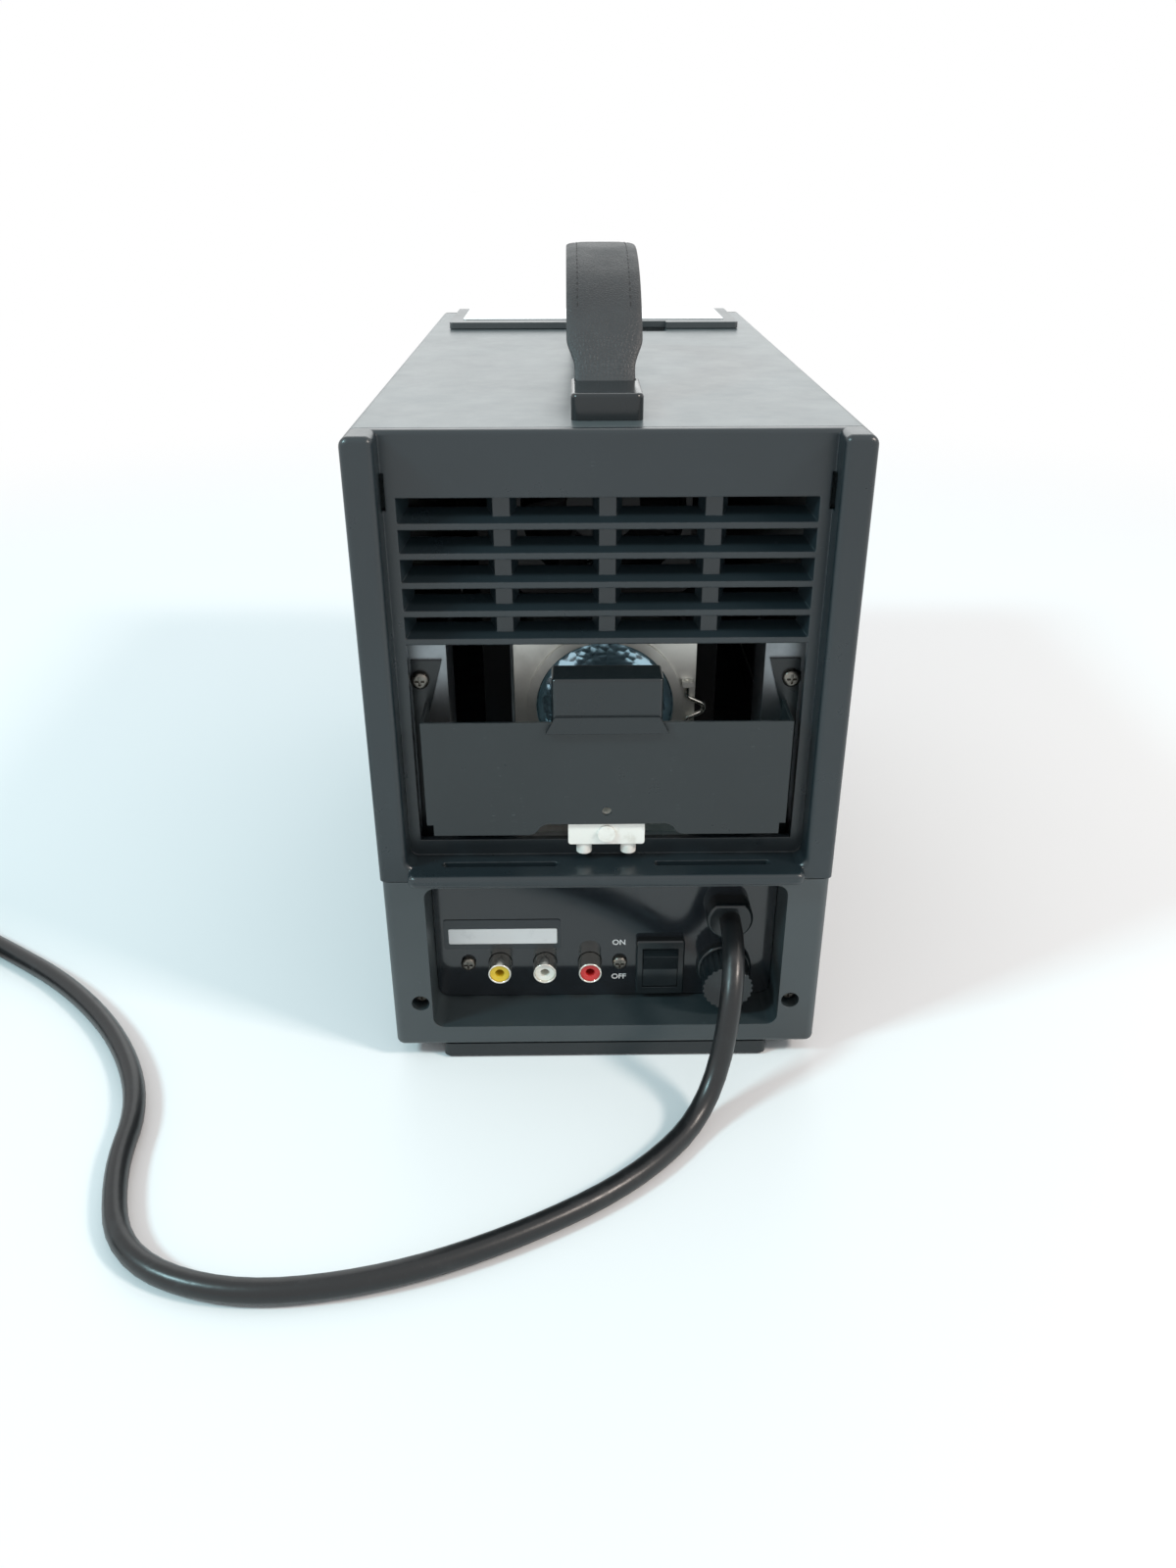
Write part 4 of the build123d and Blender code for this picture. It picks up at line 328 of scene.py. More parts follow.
@dataclass(frozen=True)
class Moulded:
    """Dark moulded plastic or textured paint: fine grain, smudges, worn edges and hairline scratches.

    Attributes:
        name: Material name.
        colour: Base colour.
        rough: Roughness.
        grain: Cells in a metre of the surface texture.
        depth: Height of the texture in metres.
        edge: Radius in metres by which sharp edges look rounded.
        wear: How much the edges are rubbed lighter, 0 to 1.
        scratches: How many hairlines show, 0 to 1.
        gloss: Specular level of the shader.
        patches, patch_range, patch_share: Large patches of a lighter tint.
        smudges, smudge_rough, smudge_height: Smudges in the roughness and the texture.
        rubbing, rub_range, worn_rough: What breaks up the rubbed edges, and how rough they are.
        hair_lines, hair_stretch, hair_width: Hairlines, drawn out along X.
        hair_places, hair_gaps, hair_range: Where along X they break off.
        pale, lighter: Factor and offset from the base colour to bare plastic and to the tint.
        grain_finer: Octaves of the texture, and the share of each finer one.
    """

    name: str
    colour: Colour
    rough: float = 0.42
    grain: float = 2600.0
    depth: float = 0.00002
    edge: float = 0.0004
    wear: float = 0.25
    scratches: float = 0.3
    gloss: float = 0.5
    patches: ClassVar[Texture] = (22.0, 4.0, 0.6)
    patch_range: ClassVar[Pair] = (0.35, 0.65)
    patch_share: ClassVar[float] = 0.6
    smudges: ClassVar[Texture] = (70.0, 5.0, 0.65)
    smudge_rough: ClassVar[float] = 0.16
    smudge_height: ClassVar[float] = 0.2
    rubbing: ClassVar[Texture] = (420.0, 3.0, 0.7)
    rub_range: ClassVar[Pair] = (0.42, 0.68)
    worn_rough: ClassVar[float] = 0.1
    hair_lines: ClassVar[Texture] = (900.0, 0.0, 0.5)
    hair_stretch: ClassVar[Point] = (0.06, 0.5, 1.0)
    hair_width: ClassVar[float] = 0.004
    hair_places: ClassVar[Texture] = (60.0, 1.0, 0.5)
    hair_gaps: ClassVar[Point] = (9.0, 1.0, 1.0)
    hair_range: ClassVar[Pair] = (0.62, 0.7)
    pale: ClassVar[Pair] = (3.2, 0.05)
    lighter: ClassVar[Pair] = (1.22, 0.0)
    grain_finer: ClassVar[Pair] = (3.0, 0.6)

    def make(self) -> bpy.types.Material:
        """Builds the material."""
        graph = Graph(self.name)
        rounded = graph.round_edges(self.edge)
        patches = graph.noise(*self.patches)
        smudge = graph.noise(*self.smudges)
        rub = graph.edge_mask(rounded) * graph.noise(*self.rubbing).ramp(*self.rub_range)
        worn = (rub * self.wear).clamp()
        places = graph.noise(*self.hair_places, graph.scaled(self.hair_gaps))
        lines = graph.noise(*self.hair_lines, graph.scaled(self.hair_stretch))
        narrow = (lines - NOISE_MIDDLE).absolute().ramp(self.hair_width, 0.0)
        hairs = narrow * places.ramp(*self.hair_range) * self.scratches
        share = patches.ramp(*self.patch_range) * self.patch_share
        body = graph.mix(share, self.colour, toned(self.colour, *self.lighter))
        base = graph.mix((worn + hairs).clamp(), body, toned(self.colour, *self.pale))
        texture = graph.noise(self.grain, *self.grain_finer) + smudge * self.smudge_height
        uneven = (smudge - NOISE_MIDDLE) * self.smudge_rough
        return graph.finish(
            {
                "Base Color": base,
                "Roughness": (self.rough + uneven + worn * self.worn_rough).clamp(),
                "Specular IOR Level": self.gloss,
                "Normal": graph.bump(texture, self.depth, rounded),
            }
        )


@dataclass(frozen=True)
class Bright:
    """Bare or plated metal, with brushing, spangle or tarnish.

    Attributes:
        name: Material name.
        colour: Base colour.
        rough: Roughness.
        patch: Cells in a metre of the spangle or stain.
        stain: How strongly the patches darken it.
        brushed: Stretch of the brushing along X, or 1 for none.
        edge: Radius in metres by which edges look rounded.
        patch_finer: Octaves of the patches, and the share of each finer one.
        patch_range, patch_rough: Their range, and how far they vary the roughness.
        brushing, brush_rough: The brushing, and how far it varies the roughness.
        brush_depth: Its depth in metres.
        darker: Factor from the base colour to the stain.
    """

    name: str
    colour: Colour
    rough: float = 0.3
    patch: float = 120.0
    stain: float = 0.25
    brushed: float = 1.0
    edge: float = 0.0002
    patch_finer: ClassVar[Pair] = (4.0, 0.6)
    patch_range: ClassVar[Pair] = (0.4, 0.66)
    patch_rough: ClassVar[float] = 0.3
    brushing: ClassVar[Texture] = (2400.0, 2.0, 0.5)
    brush_rough: ClassVar[float] = 0.2
    brush_depth: ClassVar[float] = 0.000008
    darker: ClassVar[float] = 0.55

    def make(self) -> bpy.types.Material:
        """Builds the material."""
        graph = Graph(self.name)
        rounded = graph.round_edges(self.edge)
        spots = graph.noise(self.patch, *self.patch_finer)
        fine = graph.noise(*self.brushing, graph.scaled((1.0 / self.brushed, 1.0, 1.0)))
        dark = toned(self.colour, self.darker)
        base = graph.mix(spots.ramp(*self.patch_range) * self.stain, self.colour, dark)
        uneven = (spots - NOISE_MIDDLE) * self.patch_rough
        return graph.finish(
            {
                "Base Color": base,
                "Metallic": 1.0,
                "Roughness": (self.rough + uneven + (fine - NOISE_MIDDLE) * self.brush_rough).clamp(),
                "Normal": graph.bump(fine, self.brush_depth, rounded),
            }
        )


@dataclass(frozen=True)
class Ceramic:
    """White unglazed ceramic or pale plastic, a little soiled in patches.

    Attributes:
        name: Material name.
        colour: Base colour.
        soil: Colour of the soiling.
        rough: Roughness.
        grain: Cells in a metre.
        edge: Radius in metres by which edges look rounded.
        dirt, dirt_range: Noise of the soiling and its range.
        dirt_share, dirt_rough: How far it colours and roughens.
        grain_depth: Depth of the grain in metres.
    """

    name: str
    colour: Colour
    soil: Colour
    rough: float = 0.45
    grain: float = 1800.0
    edge: ClassVar[float] = 0.0003
    dirt: ClassVar[Texture] = (160.0, 4.0, 0.65)
    dirt_range: ClassVar[Pair] = (0.5, 0.75)
    dirt_share: ClassVar[float] = 0.35
    dirt_rough: ClassVar[float] = 0.2
    grain_depth: ClassVar[float] = 0.00001

    def make(self) -> bpy.types.Material:
        """Builds the material."""
        graph = Graph(self.name)
        rounded = graph.round_edges(self.edge)
        dirt = graph.noise(*self.dirt).ramp(*self.dirt_range)
        return graph.finish(
            {
                "Base Color": graph.mix(dirt * self.dirt_share, self.colour, self.soil),
                "Roughness": (self.rough + dirt * self.dirt_rough).clamp(),
                "Normal": graph.bump(graph.noise(self.grain), self.grain_depth, rounded),
            }
        )


@dataclass(frozen=True)
class Leatherette:
    """Stitched leatherette of the strap: small pebbled grain, folds, dust, and a painted highlight on
    its lower ends.

    Attributes:
        name: Material name.
        colour: Base colour.
        cell: Grain cells in a metre.
        pebbles: Range of the cell distance over which a pebble rises.
        folds, fold_stretch, fold_height, fold_rough: Fine folds across the strap.
        dust, dust_range, dust_share: Patches of dust.
        highlight_bottom, highlight_top: Heights in metres between which the painted highlight on the
            lower ends fades out.
        end_highlight_share: How strong the painted highlight on the ends is.
        rough, dust_rough: Roughness, and what dust adds to it.
        pale: Factor and offset from the base colour to the one paled by dust and painted highlight.
        depth: Depth of the grain in metres.
    """

    name: str
    colour: Colour
    cell: float = 900.0
    pebbles: ClassVar[Pair] = (0.0, 0.25)
    folds: ClassVar[Texture] = (130.0, 4.0, 0.6)
    fold_stretch: ClassVar[Point] = (0.5, 1.0, 1.0)
    fold_height: ClassVar[float] = 0.9
    fold_rough: ClassVar[float] = 0.2
    dust: ClassVar[Texture] = (55.0, 5.0, 0.7)
    dust_range: ClassVar[Pair] = (0.45, 0.75)
    dust_share: ClassVar[float] = 0.5
    highlight_top: ClassVar[float] = 0.262
    highlight_bottom: ClassVar[float] = 0.232
    end_highlight_share: ClassVar[float] = 0.6
    rough: ClassVar[float] = 0.5
    dust_rough: ClassVar[float] = 0.15
    pale: ClassVar[Pair] = (1.9, 0.01)
    depth: ClassVar[float] = 0.00007

    def make(self) -> bpy.types.Material:
        """Builds the material."""
        graph = Graph(self.name)
        pebble = graph.cells(self.cell, "DISTANCE_TO_EDGE")
        folds = graph.noise(*self.folds, graph.scaled(self.fold_stretch))
        dust = graph.noise(*self.dust).ramp(*self.dust_range)
        # Painted highlight: the strap's lower ends are made paler, fading out between the two heights
        low = graph.axis("Z").ramp(self.highlight_top, self.highlight_bottom)
        # Real dust patches plus the painted highlight on the lower ends
        dust_and_highlight = (dust * self.dust_share + low * self.end_highlight_share).clamp()
        uneven = (folds - NOISE_MIDDLE) * self.fold_rough
        height = pebble.ramp(*self.pebbles) + folds * self.fold_height
        return graph.finish(
            {
                "Base Color": graph.mix(dust_and_highlight, self.colour, toned(self.colour, *self.pale)),
                "Roughness": (self.rough + dust * self.dust_rough + uneven).clamp(),
                "Normal": graph.bump(height, self.depth),
            }
        )


@dataclass(frozen=True)
class Jacket:
    """Smooth flexible cord jacket with a fine ripple, scuffs and specks of dust.

    Attributes:
        name: Material name.
        colour: Base colour.
        rough: Roughness.
        scuffs, scuff_range, scuff_share, scuff_rough: Scuffs, and how far they colour and roughen.
        specks, speck_range, speck_share: Specks of dust.
        ripple, ripple_depth: The ripple's noise, and its depth in metres.
        pale: Factor and offset from the base colour to the scuffed one.
    """

    name: str
    colour: Colour
    rough: float = 0.36
    scuffs: ClassVar[Texture] = (90.0, 6.0, 0.7)
    scuff_range: ClassVar[Pair] = (0.52, 0.74)
    scuff_share: ClassVar[float] = 0.4
    scuff_rough: ClassVar[float] = 0.18
    specks: ClassVar[Texture] = (1400.0, 2.0, 0.6)
    speck_range: ClassVar[Pair] = (0.66, 0.72)
    speck_share: ClassVar[float] = 0.3
    ripple: ClassVar[Texture] = (260.0, 3.0, 0.6)
    ripple_depth: ClassVar[float] = 0.00005
    pale: ClassVar[Pair] = (2.4, 0.012)

    def make(self) -> bpy.types.Material:
        """Builds the material."""
        graph = Graph(self.name)
        scuff = graph.noise(*self.scuffs).ramp(*self.scuff_range)
        speck = graph.noise(*self.specks).ramp(*self.speck_range)
        share = (scuff * self.scuff_share + speck * self.speck_share).clamp()
        return graph.finish(
            {
                "Base Color": graph.mix(share, self.colour, toned(self.colour, *self.pale)),
                "Roughness": (self.rough + scuff * self.scuff_rough).clamp(),
                "Normal": graph.bump(graph.noise(*self.ripple), self.ripple_depth),
            }
        )


@dataclass(frozen=True)
class Glass:
    """Clear optical glass with a faint film of dust.

    Attributes:
        name: Material name.
        tint: Colour of the glass.
        rough: Roughness.
        dust, dust_range, dust_rough: The film of dust, and what it adds to the roughness.
        clear: Share of the light that the glass lets through.
        bending: Index of refraction.
    """

    name: str
    tint: Colour
    rough: float = 0.03
    dust: ClassVar[Texture] = (300.0, 4.0, 0.7)
    dust_range: ClassVar[Pair] = (0.5, 0.8)
    dust_rough: ClassVar[float] = 0.06
    clear: ClassVar[float] = 0.92
    bending: ClassVar[float] = 1.5

    def make(self) -> bpy.types.Material:
        """Builds the material."""
        graph = Graph(self.name)
        dust = graph.noise(*self.dust).ramp(*self.dust_range)
        return graph.finish(
            {
                "Base Color": self.tint,
                "Roughness": (self.rough + dust * self.dust_rough).clamp(),
                "Transmission Weight": self.clear,
                "IOR": self.bending,
            }
        )


@dataclass(frozen=True)
class Dichroic:
    """Interference-coated lamp glass: a cool colour that shifts to a warm one, finely dimpled.

    Attributes:
        name: Material name.
        cool: Colour of the wide part.
        warm: Colour near the neck.
        dimples: Cells in a metre.
        band: Places on the Y axis, in metres, between which warm turns to cool.
        shift, shift_share: Noise that makes the turn uneven, and how far.
        metal, rough, coat, coat_rough: The coating's shine.
        dimple_depth: Depth of a dimple in metres.
    """

    name: str
    cool: Colour
    warm: Colour
    dimples: float = 420.0
    band: ClassVar[Pair] = (-0.148, -0.132)
    shift: ClassVar[Texture] = (60.0, 2.0, 0.5)
    shift_share: ClassVar[float] = 0.7
    metal: ClassVar[float] = 0.75
    rough: ClassVar[float] = 0.16
    coat: ClassVar[float] = 1.0
    coat_rough: ClassVar[float] = 0.05
    dimple_depth: ClassVar[float] = 0.0002

    def make(self) -> bpy.types.Material:
        """Builds the material."""
        graph = Graph(self.name)
        band = graph.axis("Y").ramp(*self.band)
        shift = (graph.noise(*self.shift) - NOISE_MIDDLE) * self.shift_share
        return graph.finish(
            {
                "Base Color": graph.mix((band + shift).clamp(), self.warm, self.cool),
                "Metallic": self.metal,
                "Roughness": self.rough,
                "Coat Weight": self.coat,
                "Coat Roughness": self.coat_rough,
                "Normal": graph.bump(graph.cells(self.dimples), self.dimple_depth),
            }
        )


class Palette(Enum):
    """The finishes of this projector, one member for each."""

    TRAY = Moulded("tray plastic", (0.024, 0.034, 0.038), 0.40, wear=0.2, gloss=0.8)
    COVER = Moulded(
        "cover paint", (0.060, 0.078, 0.084), 0.34, 2100.0, wear=0.15, scratches=0.1, gloss=1.0
    )
    FRAME = Moulded(
        "frame plastic", (0.011, 0.018, 0.022), 0.30, 2800.0, 0.00001, 0.0006, wear=0.3, gloss=0.6
    )
    FRONT = Moulded("front plastic", (0.018, 0.021, 0.023), 0.42)
    PANEL = Moulded(
        "panel film", (0.010, 0.014, 0.018), 0.10, 900.0, 0.000001, 0.0002,
        wear=0.0, scratches=0.05, gloss=0.7,
    )
    GLOSSY = Moulded(
        "glossy plastic", (0.010, 0.014, 0.016), 0.18, 900.0, 0.000004, 0.0003, wear=0.1, scratches=0.2
    )
    GUARD = Moulded(
        "guard paint", (0.013, 0.018, 0.020), 0.30, 3000.0, 0.000006, 0.0003, wear=0.5, scratches=1.0
    )
    LID = Moulded("lid plastic", (0.030, 0.038, 0.042), 0.34, edge=0.0003, wear=0.1, gloss=0.9)
    KNOB = Moulded("knob plastic", (0.03, 0.032, 0.035), 0.4, edge=0.0002)
    INNER = Moulded("inner plastic", (0.012, 0.012, 0.013), 0.55, edge=0.0002, wear=0.0, scratches=0.0)
    RUBBER = Moulded("foot rubber", (0.012, 0.015, 0.017), 0.5, 1500.0, wear=0.05, scratches=0.0)
    LABEL = Moulded("label film", (0.022, 0.029, 0.034), 0.16, 1500.0, 0.000002, 0.0001, wear=0.05)
    BOARD = Moulded("board laminate", (0.02, 0.12, 0.05), 0.35, 700.0, 0.00001, 0.0001, wear=0.0)
    CONE = Moulded("speaker pulp", (0.05, 0.045, 0.04), 0.8, 1500.0, 0.00005, 0.0002, wear=0.0)
    STEEL = Bright("screw zinc", (0.62, 0.60, 0.56), 0.32, 300.0, 0.5)
    BRONZE = Bright("dark screw", (0.20, 0.19, 0.17), 0.34, 300.0, 0.5)
    NICKEL = Bright("socket nickel", (0.80, 0.77, 0.70), 0.2, 260.0, 0.35)
    SHEET = Bright("galvanised sheet", (0.72, 0.72, 0.68), 0.5, 90.0, 0.25)
    CHASSIS = Bright("chassis sheet", (0.30, 0.33, 0.35), 0.42, 60.0, 0.4)
    CORE = Bright("core laminations", (0.22, 0.20, 0.18), 0.5, 200.0, 0.5)
    PLATE = Bright("lid plate", (0.74, 0.80, 0.82), 0.3, 40.0, 0.1, 14.0)
    YELLOW = Ceramic("yellow insert", (0.78, 0.55, 0.03), (0.3, 0.2, 0.02), 0.3)
    WHITE = Ceramic("white insert", (0.80, 0.79, 0.72), (0.4, 0.36, 0.28), 0.3)
    RED = Ceramic("red insert", (0.60, 0.03, 0.03), (0.2, 0.02, 0.02), 0.3)
    CERAMIC = Ceramic("white ceramic", (0.86, 0.85, 0.80), (0.5, 0.46, 0.38), 0.4)
    PRINT = Ceramic("white print", (0.88, 0.90, 0.90), (0.6, 0.62, 0.62), 0.6)
    STRAP = Leatherette("strap leatherette", (0.016, 0.018, 0.020))
    THREAD = Jacket("strap thread", (0.006, 0.006, 0.007), 0.6)
    CORD = Jacket("cord jacket", (0.008, 0.009, 0.010), 0.3)
    CLEAR = Glass("clear glass", (0.92, 0.97, 0.97))
    DISPLAY = Glass("display glass", (0.25, 0.27, 0.30), 0.1)
    REFLECTOR = Dichroic("dichroic glass", (0.42, 0.66, 0.78), (0.40, 0.36, 0.52))

    def material(self) -> bpy.types.Material:
        """The finish's material, made the first time it is asked for."""
        found = bpy.data.materials.get(self.value.name)
        return found or self.value.make()


NODE_FINISH: dict[str, Palette] = {
    "lower_housing": Palette.TRAY,
    "upper_cover": Palette.COVER,
    "rear_bezel": Palette.FRAME,
    "front_bezel": Palette.FRONT,
    "rear_foot": Palette.RUBBER,
    "front_feet": Palette.RUBBER,
    "foot_stem": Palette.STEEL,
    "foot_wheel": Palette.KNOB,
    "control_panel": Palette.PANEL,
    "panel_screws": Palette.BRONZE,
    "corner_screws": Palette.BRONZE,
    "jack_block": Palette.INNER,
    "jack_shells": Palette.NICKEL,
    "video_insert": Palette.YELLOW,
    "left_insert": Palette.WHITE,
    "right_insert": Palette.RED,
    "rocker_frame": Palette.GLOSSY,
    "power_rocker": Palette.GLOSSY,
    "fuse_base": Palette.GLOSSY,
    "fuse_cap": Palette.GLOSSY,
    "cord_gland": Palette.GLOSSY,
    "blank_label": Palette.LABEL,
    "lamp_guard": Palette.GUARD,
    "guard_screws": Palette.BRONZE,
    "lamp_grip": Palette.GLOSSY,
    "terminal_block": Palette.CERAMIC,
    "inner_chassis": Palette.CHASSIS,
    "lamp_plate": Palette.SHEET,
    "lamp_reflector": Palette.REFLECTOR,
    "lamp_socket": Palette.CERAMIC,
    "lamp_bail": Palette.NICKEL,
    "fan_frame": Palette.INNER,
    "fan_rotor": Palette.INNER,
    "optics_block": Palette.INNER,
    "condenser_lens": Palette.CLEAR,
    "display_panel": Palette.DISPLAY,
    "lens_tube": Palette.INNER,
    "focus_ring": Palette.LID,
    "lens_barrel": Palette.LID,
    "front_lens": Palette.CLEAR,
    "transformer": Palette.CORE,
    "main_board": Palette.BOARD,
    "speaker": Palette.CONE,
    "control_well": Palette.LID,
    "tint_knob": Palette.KNOB,
    "colour_knob": Palette.KNOB,
    "contrast_knob": Palette.KNOB,
    "brightness_knob": Palette.KNOB,
    "control_lid": Palette.LID,
    "lid_plate": Palette.PLATE,
    "rear_handle_cap": Palette.GLOSSY,
    "front_handle_cap": Palette.GLOSSY,
    "cord_tie": Palette.INNER,
    "mains_plug": Palette.CORD,
    "plug_pins": Palette.NICKEL,
}


# Mesh helpers


def link_new(name: str, data: bpy.types.ID) -> bpy.types.Object:
    """Makes an object of some data and links it to the scene."""
    made = bpy.data.objects.new(name, data)
    bpy.context.scene.collection.objects.link(made)
    return made


def mesh_piece(name: str, points: np.ndarray, faces: Sequence[Sequence[int]], finish: Palette,
               body: str, smooth: bool = True) -> bpy.types.Object:
    """Makes one piece from computed points and faces, dressed and riding on a body.

    Args:
        name: Piece name.
        points: Array of n points in metres.
        faces: Corner numbers of each face.
        finish: Its finish.
        body: The body that it moves with.
        smooth: Whether its faces are shaded smooth.

    Returns:
        The new object.
    """
    mesh = bpy.data.meshes.new(name)
    corners = [list(map(int, face)) for face in faces]
    mesh.from_pydata(np.asarray(points, float).tolist(), [], corners)
    mesh.polygons.foreach_set("use_smooth", [smooth] * len(mesh.polygons))
    mesh.update()
    piece = link_new(name, mesh)
    mesh.materials.append(finish.material())
    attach(piece, body)
    return piece


def tube_faces(rings: int, sides: int) -> list[tuple[int, ...]]:
    """Quads of a closed tube, each between two corners of one ring and the same two of the next.

    Args:
        rings: Number of rings, whose points stand ring after ring.
        sides: Corners of each ring.

    Returns:
        The quads, then the two caps.
    """
    ring, side = np.meshgrid(np.arange(rings - 1), np.arange(sides), indexing="ij")
    here = ring * sides + side
    right = ring * sides + (side + 1) % sides
    quads = np.stack([here, right, right + sides, here + sides], axis=-1).reshape(-1, 4)
    last = (rings - 1) * sides
    caps = [tuple(range(sides - 1, -1, -1)), tuple(range(last, last + sides))]
    return [tuple(quad) for quad in quads.tolist()] + caps


def at(x: float, depth: float, z: float) -> Point:
    """A point in metres from millimetres across, depth from the rear face, and height."""
    return (x * MM, (REAR_Y + depth) * MM, z * MM)


def travelled(line: np.ndarray) -> np.ndarray:
    """Distance along a line at each of its points."""
    return np.concatenate([[0.0], np.cumsum(np.linalg.norm(np.diff(line, axis=0), axis=1))])


# Camera and light


@dataclass(frozen=True)
class Lamp:
    """One square soft lamp.

    Attributes:
        name: Its name.
        place: Where it hangs, in metres.
        aim: The place on the object that it points at, in metres.
        size: Side of its square in metres.
        power: Its watts.
        colour: Colour of its light.
    """

    name: str
    place: Point
    aim: Point
    size: float
    power: float
    colour: Colour

    def hang(self) -> None:
        """Adds the lamp to the scene, out of the camera's sight."""
        data = bpy.data.lights.new(self.name, "AREA")
        data.shape = "SQUARE"
        data.size = self.size
        data.energy = self.power
        data.color = self.colour
        lamp = link_new(self.name, data)
        lamp.visible_camera = False
        way = Vector(self.aim) - Vector(self.place)
        turn = way.to_track_quat("-Z", "Y").to_matrix().to_4x4()
        lamp.matrix_world = Matrix.Translation(Vector(self.place)) @ turn


@dataclass
class Studio:
    """Camera at the photograph's place, pale floor, pale surroundings and soft lamps.

    Attributes:
        camera_at: Camera position in millimetres in the part's frame.
        yaw: Turn to the right, in degrees.
        pitch: Tilt down, in degrees.
        roll: Roll, in degrees.
        lens: Focal length for the sensor.
        sensor: Long side of the sensor.
        nearest: Nearest distance that the camera shows, in metres.
        floor_size: Half width of the floor in metres.
        floor_fade: Distances over which the floor fades to plain white, in metres.
        floor_gap: How far the floor lies below the object's lowest point, in metres.
        floor_colours: The floor's two shades.
        floor_patches, floor_range, floor_share: How the second shade comes and goes.
        floor_rough, floor_gloss: Roughness and specular level of the floor.
        sky, sky_strength: Colour and strength of the light from all around.
        lamps: The soft lamps.
    """

    camera_at: Point = (-10.6, -499.0, 288.65)
    yaw: float = 0.756
    pitch: float = 27.64
    roll: float = 0.077
    lens: float = 27.2
    sensor: float = 36.0
    nearest: float = 0.01
    floor_size: float = 4.0
    floor_fade: Pair = (0.45, 1.1)
    floor_gap: float = 0.0003
    floor_colours: tuple[Colour, Colour] = ((0.86, 0.87, 0.88), (0.82, 0.83, 0.85))
    floor_patches: Texture = (1.4, 3.0, 0.5)
    floor_range: Pair = (0.3, 0.7)
    floor_share: float = 0.3
    floor_rough: float = 0.7
    floor_gloss: float = 0.2
    sky: Colour = (0.94, 0.98, 1.0)
    sky_strength: float = 0.66
    lamps: tuple[Lamp, ...] = (
        Lamp("left softbox", (-1.25, -0.75, 1.3), (0.0, -0.1, 0.12), 0.3, 17.0, (0.60, 0.94, 1.0)),
        Lamp("right softbox", (1.25, -0.75, 1.3), (0.0, -0.1, 0.12), 0.3, 17.0, (1.0, 0.88, 0.80)),
        Lamp("rear softbox", (0.0, 1.35, 1.0), (0.0, 0.0, 0.22), 1.3, 5.0, (0.95, 1.0, 1.0)),
    )

    def camera(self) -> None:
        """Places the camera and makes it the scene's own."""
        data = bpy.data.cameras.new("camera")
        data.sensor_width = self.sensor
        data.lens = self.lens
        data.clip_start = self.nearest
        camera = link_new("camera", data)
        yaw, pitch, roll = (math.radians(angle) for angle in (self.yaw, self.pitch, self.roll))
        level = math.cos(pitch)
        ahead = Vector((math.sin(yaw) * level, math.cos(yaw) * level, -math.sin(pitch)))
        right = ahead.cross(Vector((0.0, 0.0, 1.0))).normalized()
        up = right.cross(ahead)
        turned = right * math.cos(roll) - up * math.sin(roll)
        raised = up * math.cos(roll) + right * math.sin(roll)
        axes = Matrix((turned, raised, -ahead)).transposed().to_4x4()
        camera.matrix_world = Matrix.Translation(Vector(self.camera_at) * MM) @ axes
        bpy.context.scene.camera = camera

    def floor_finish(self) -> bpy.types.Material:
        """A pale, dull surface that fades to plain white with its distance from the middle."""
        graph = Graph("floor white")
        shade = graph.noise(*self.floor_patches).ramp(*self.floor_range)
        base = graph.mix(shade * self.floor_share, *self.floor_colours)
        far = (graph.axis("X") ** 2.0 + graph.axis("Y") ** 2.0) ** 0.5
        dull = graph.principled(
            {
                "Base Color": base,
                "Roughness": self.floor_rough,
                "Specular IOR Level": self.floor_gloss,
            }
        )
        glow = graph.node("ShaderNodeEmission", {}, {"Color": WHITE_LIGHT, "Strength": 1.0})
        faded = graph.blend(far.ramp(*self.floor_fade), dull, graph.out(glow, "Emission"))
        graph.node("ShaderNodeOutputMaterial", {}, {"Surface": faded})
        return graph.owner

    def floor(self) -> None:
        """Lays a square floor just below the object, which keeps the object's soft shadow."""
        size = self.floor_size
        corners = [(-size, -size, 0), (size, -size, 0), (size, size, 0), (-size, size, 0)]
        mesh = bpy.data.meshes.new("floor")
        mesh.from_pydata(corners, [], [(0, 1, 2, 3)])
        floor = link_new("floor", mesh)
        mesh.materials.append(self.floor_finish())
        floor.location.z = -self.floor_gap

    def surround(self) -> None:
        """Sets the light from all around, which the camera, glass and gloss see as plain white."""
        graph = Graph("studio", world=True)
        bpy.context.scene.world = graph.owner
        path = graph.node("ShaderNodeLightPath", {}, {})
        seen = graph.out(path, "Is Camera Ray").larger(
            graph.out(path, "Is Transmission Ray").larger(graph.out(path, "Is Glossy Ray"))
        )
        backgrounds = [
            graph.node("ShaderNodeBackground", {}, {"Color": colour, "Strength": strength})
            for colour, strength in ((opaque(self.sky), self.sky_strength), (WHITE_LIGHT, 1.0))
        ]
        soft, white = (graph.out(background, "Background") for background in backgrounds)
        graph.node("ShaderNodeOutputWorld", {}, {"Surface": graph.blend(seen, soft, white)})

    def light(self) -> None:
        """Sets the pale surroundings, the soft lamps and the plain view transform."""
        self.surround()
        for lamp in self.lamps:
            lamp.hang()
        bpy.context.scene.view_settings.view_transform = "Standard"


# Mains lead


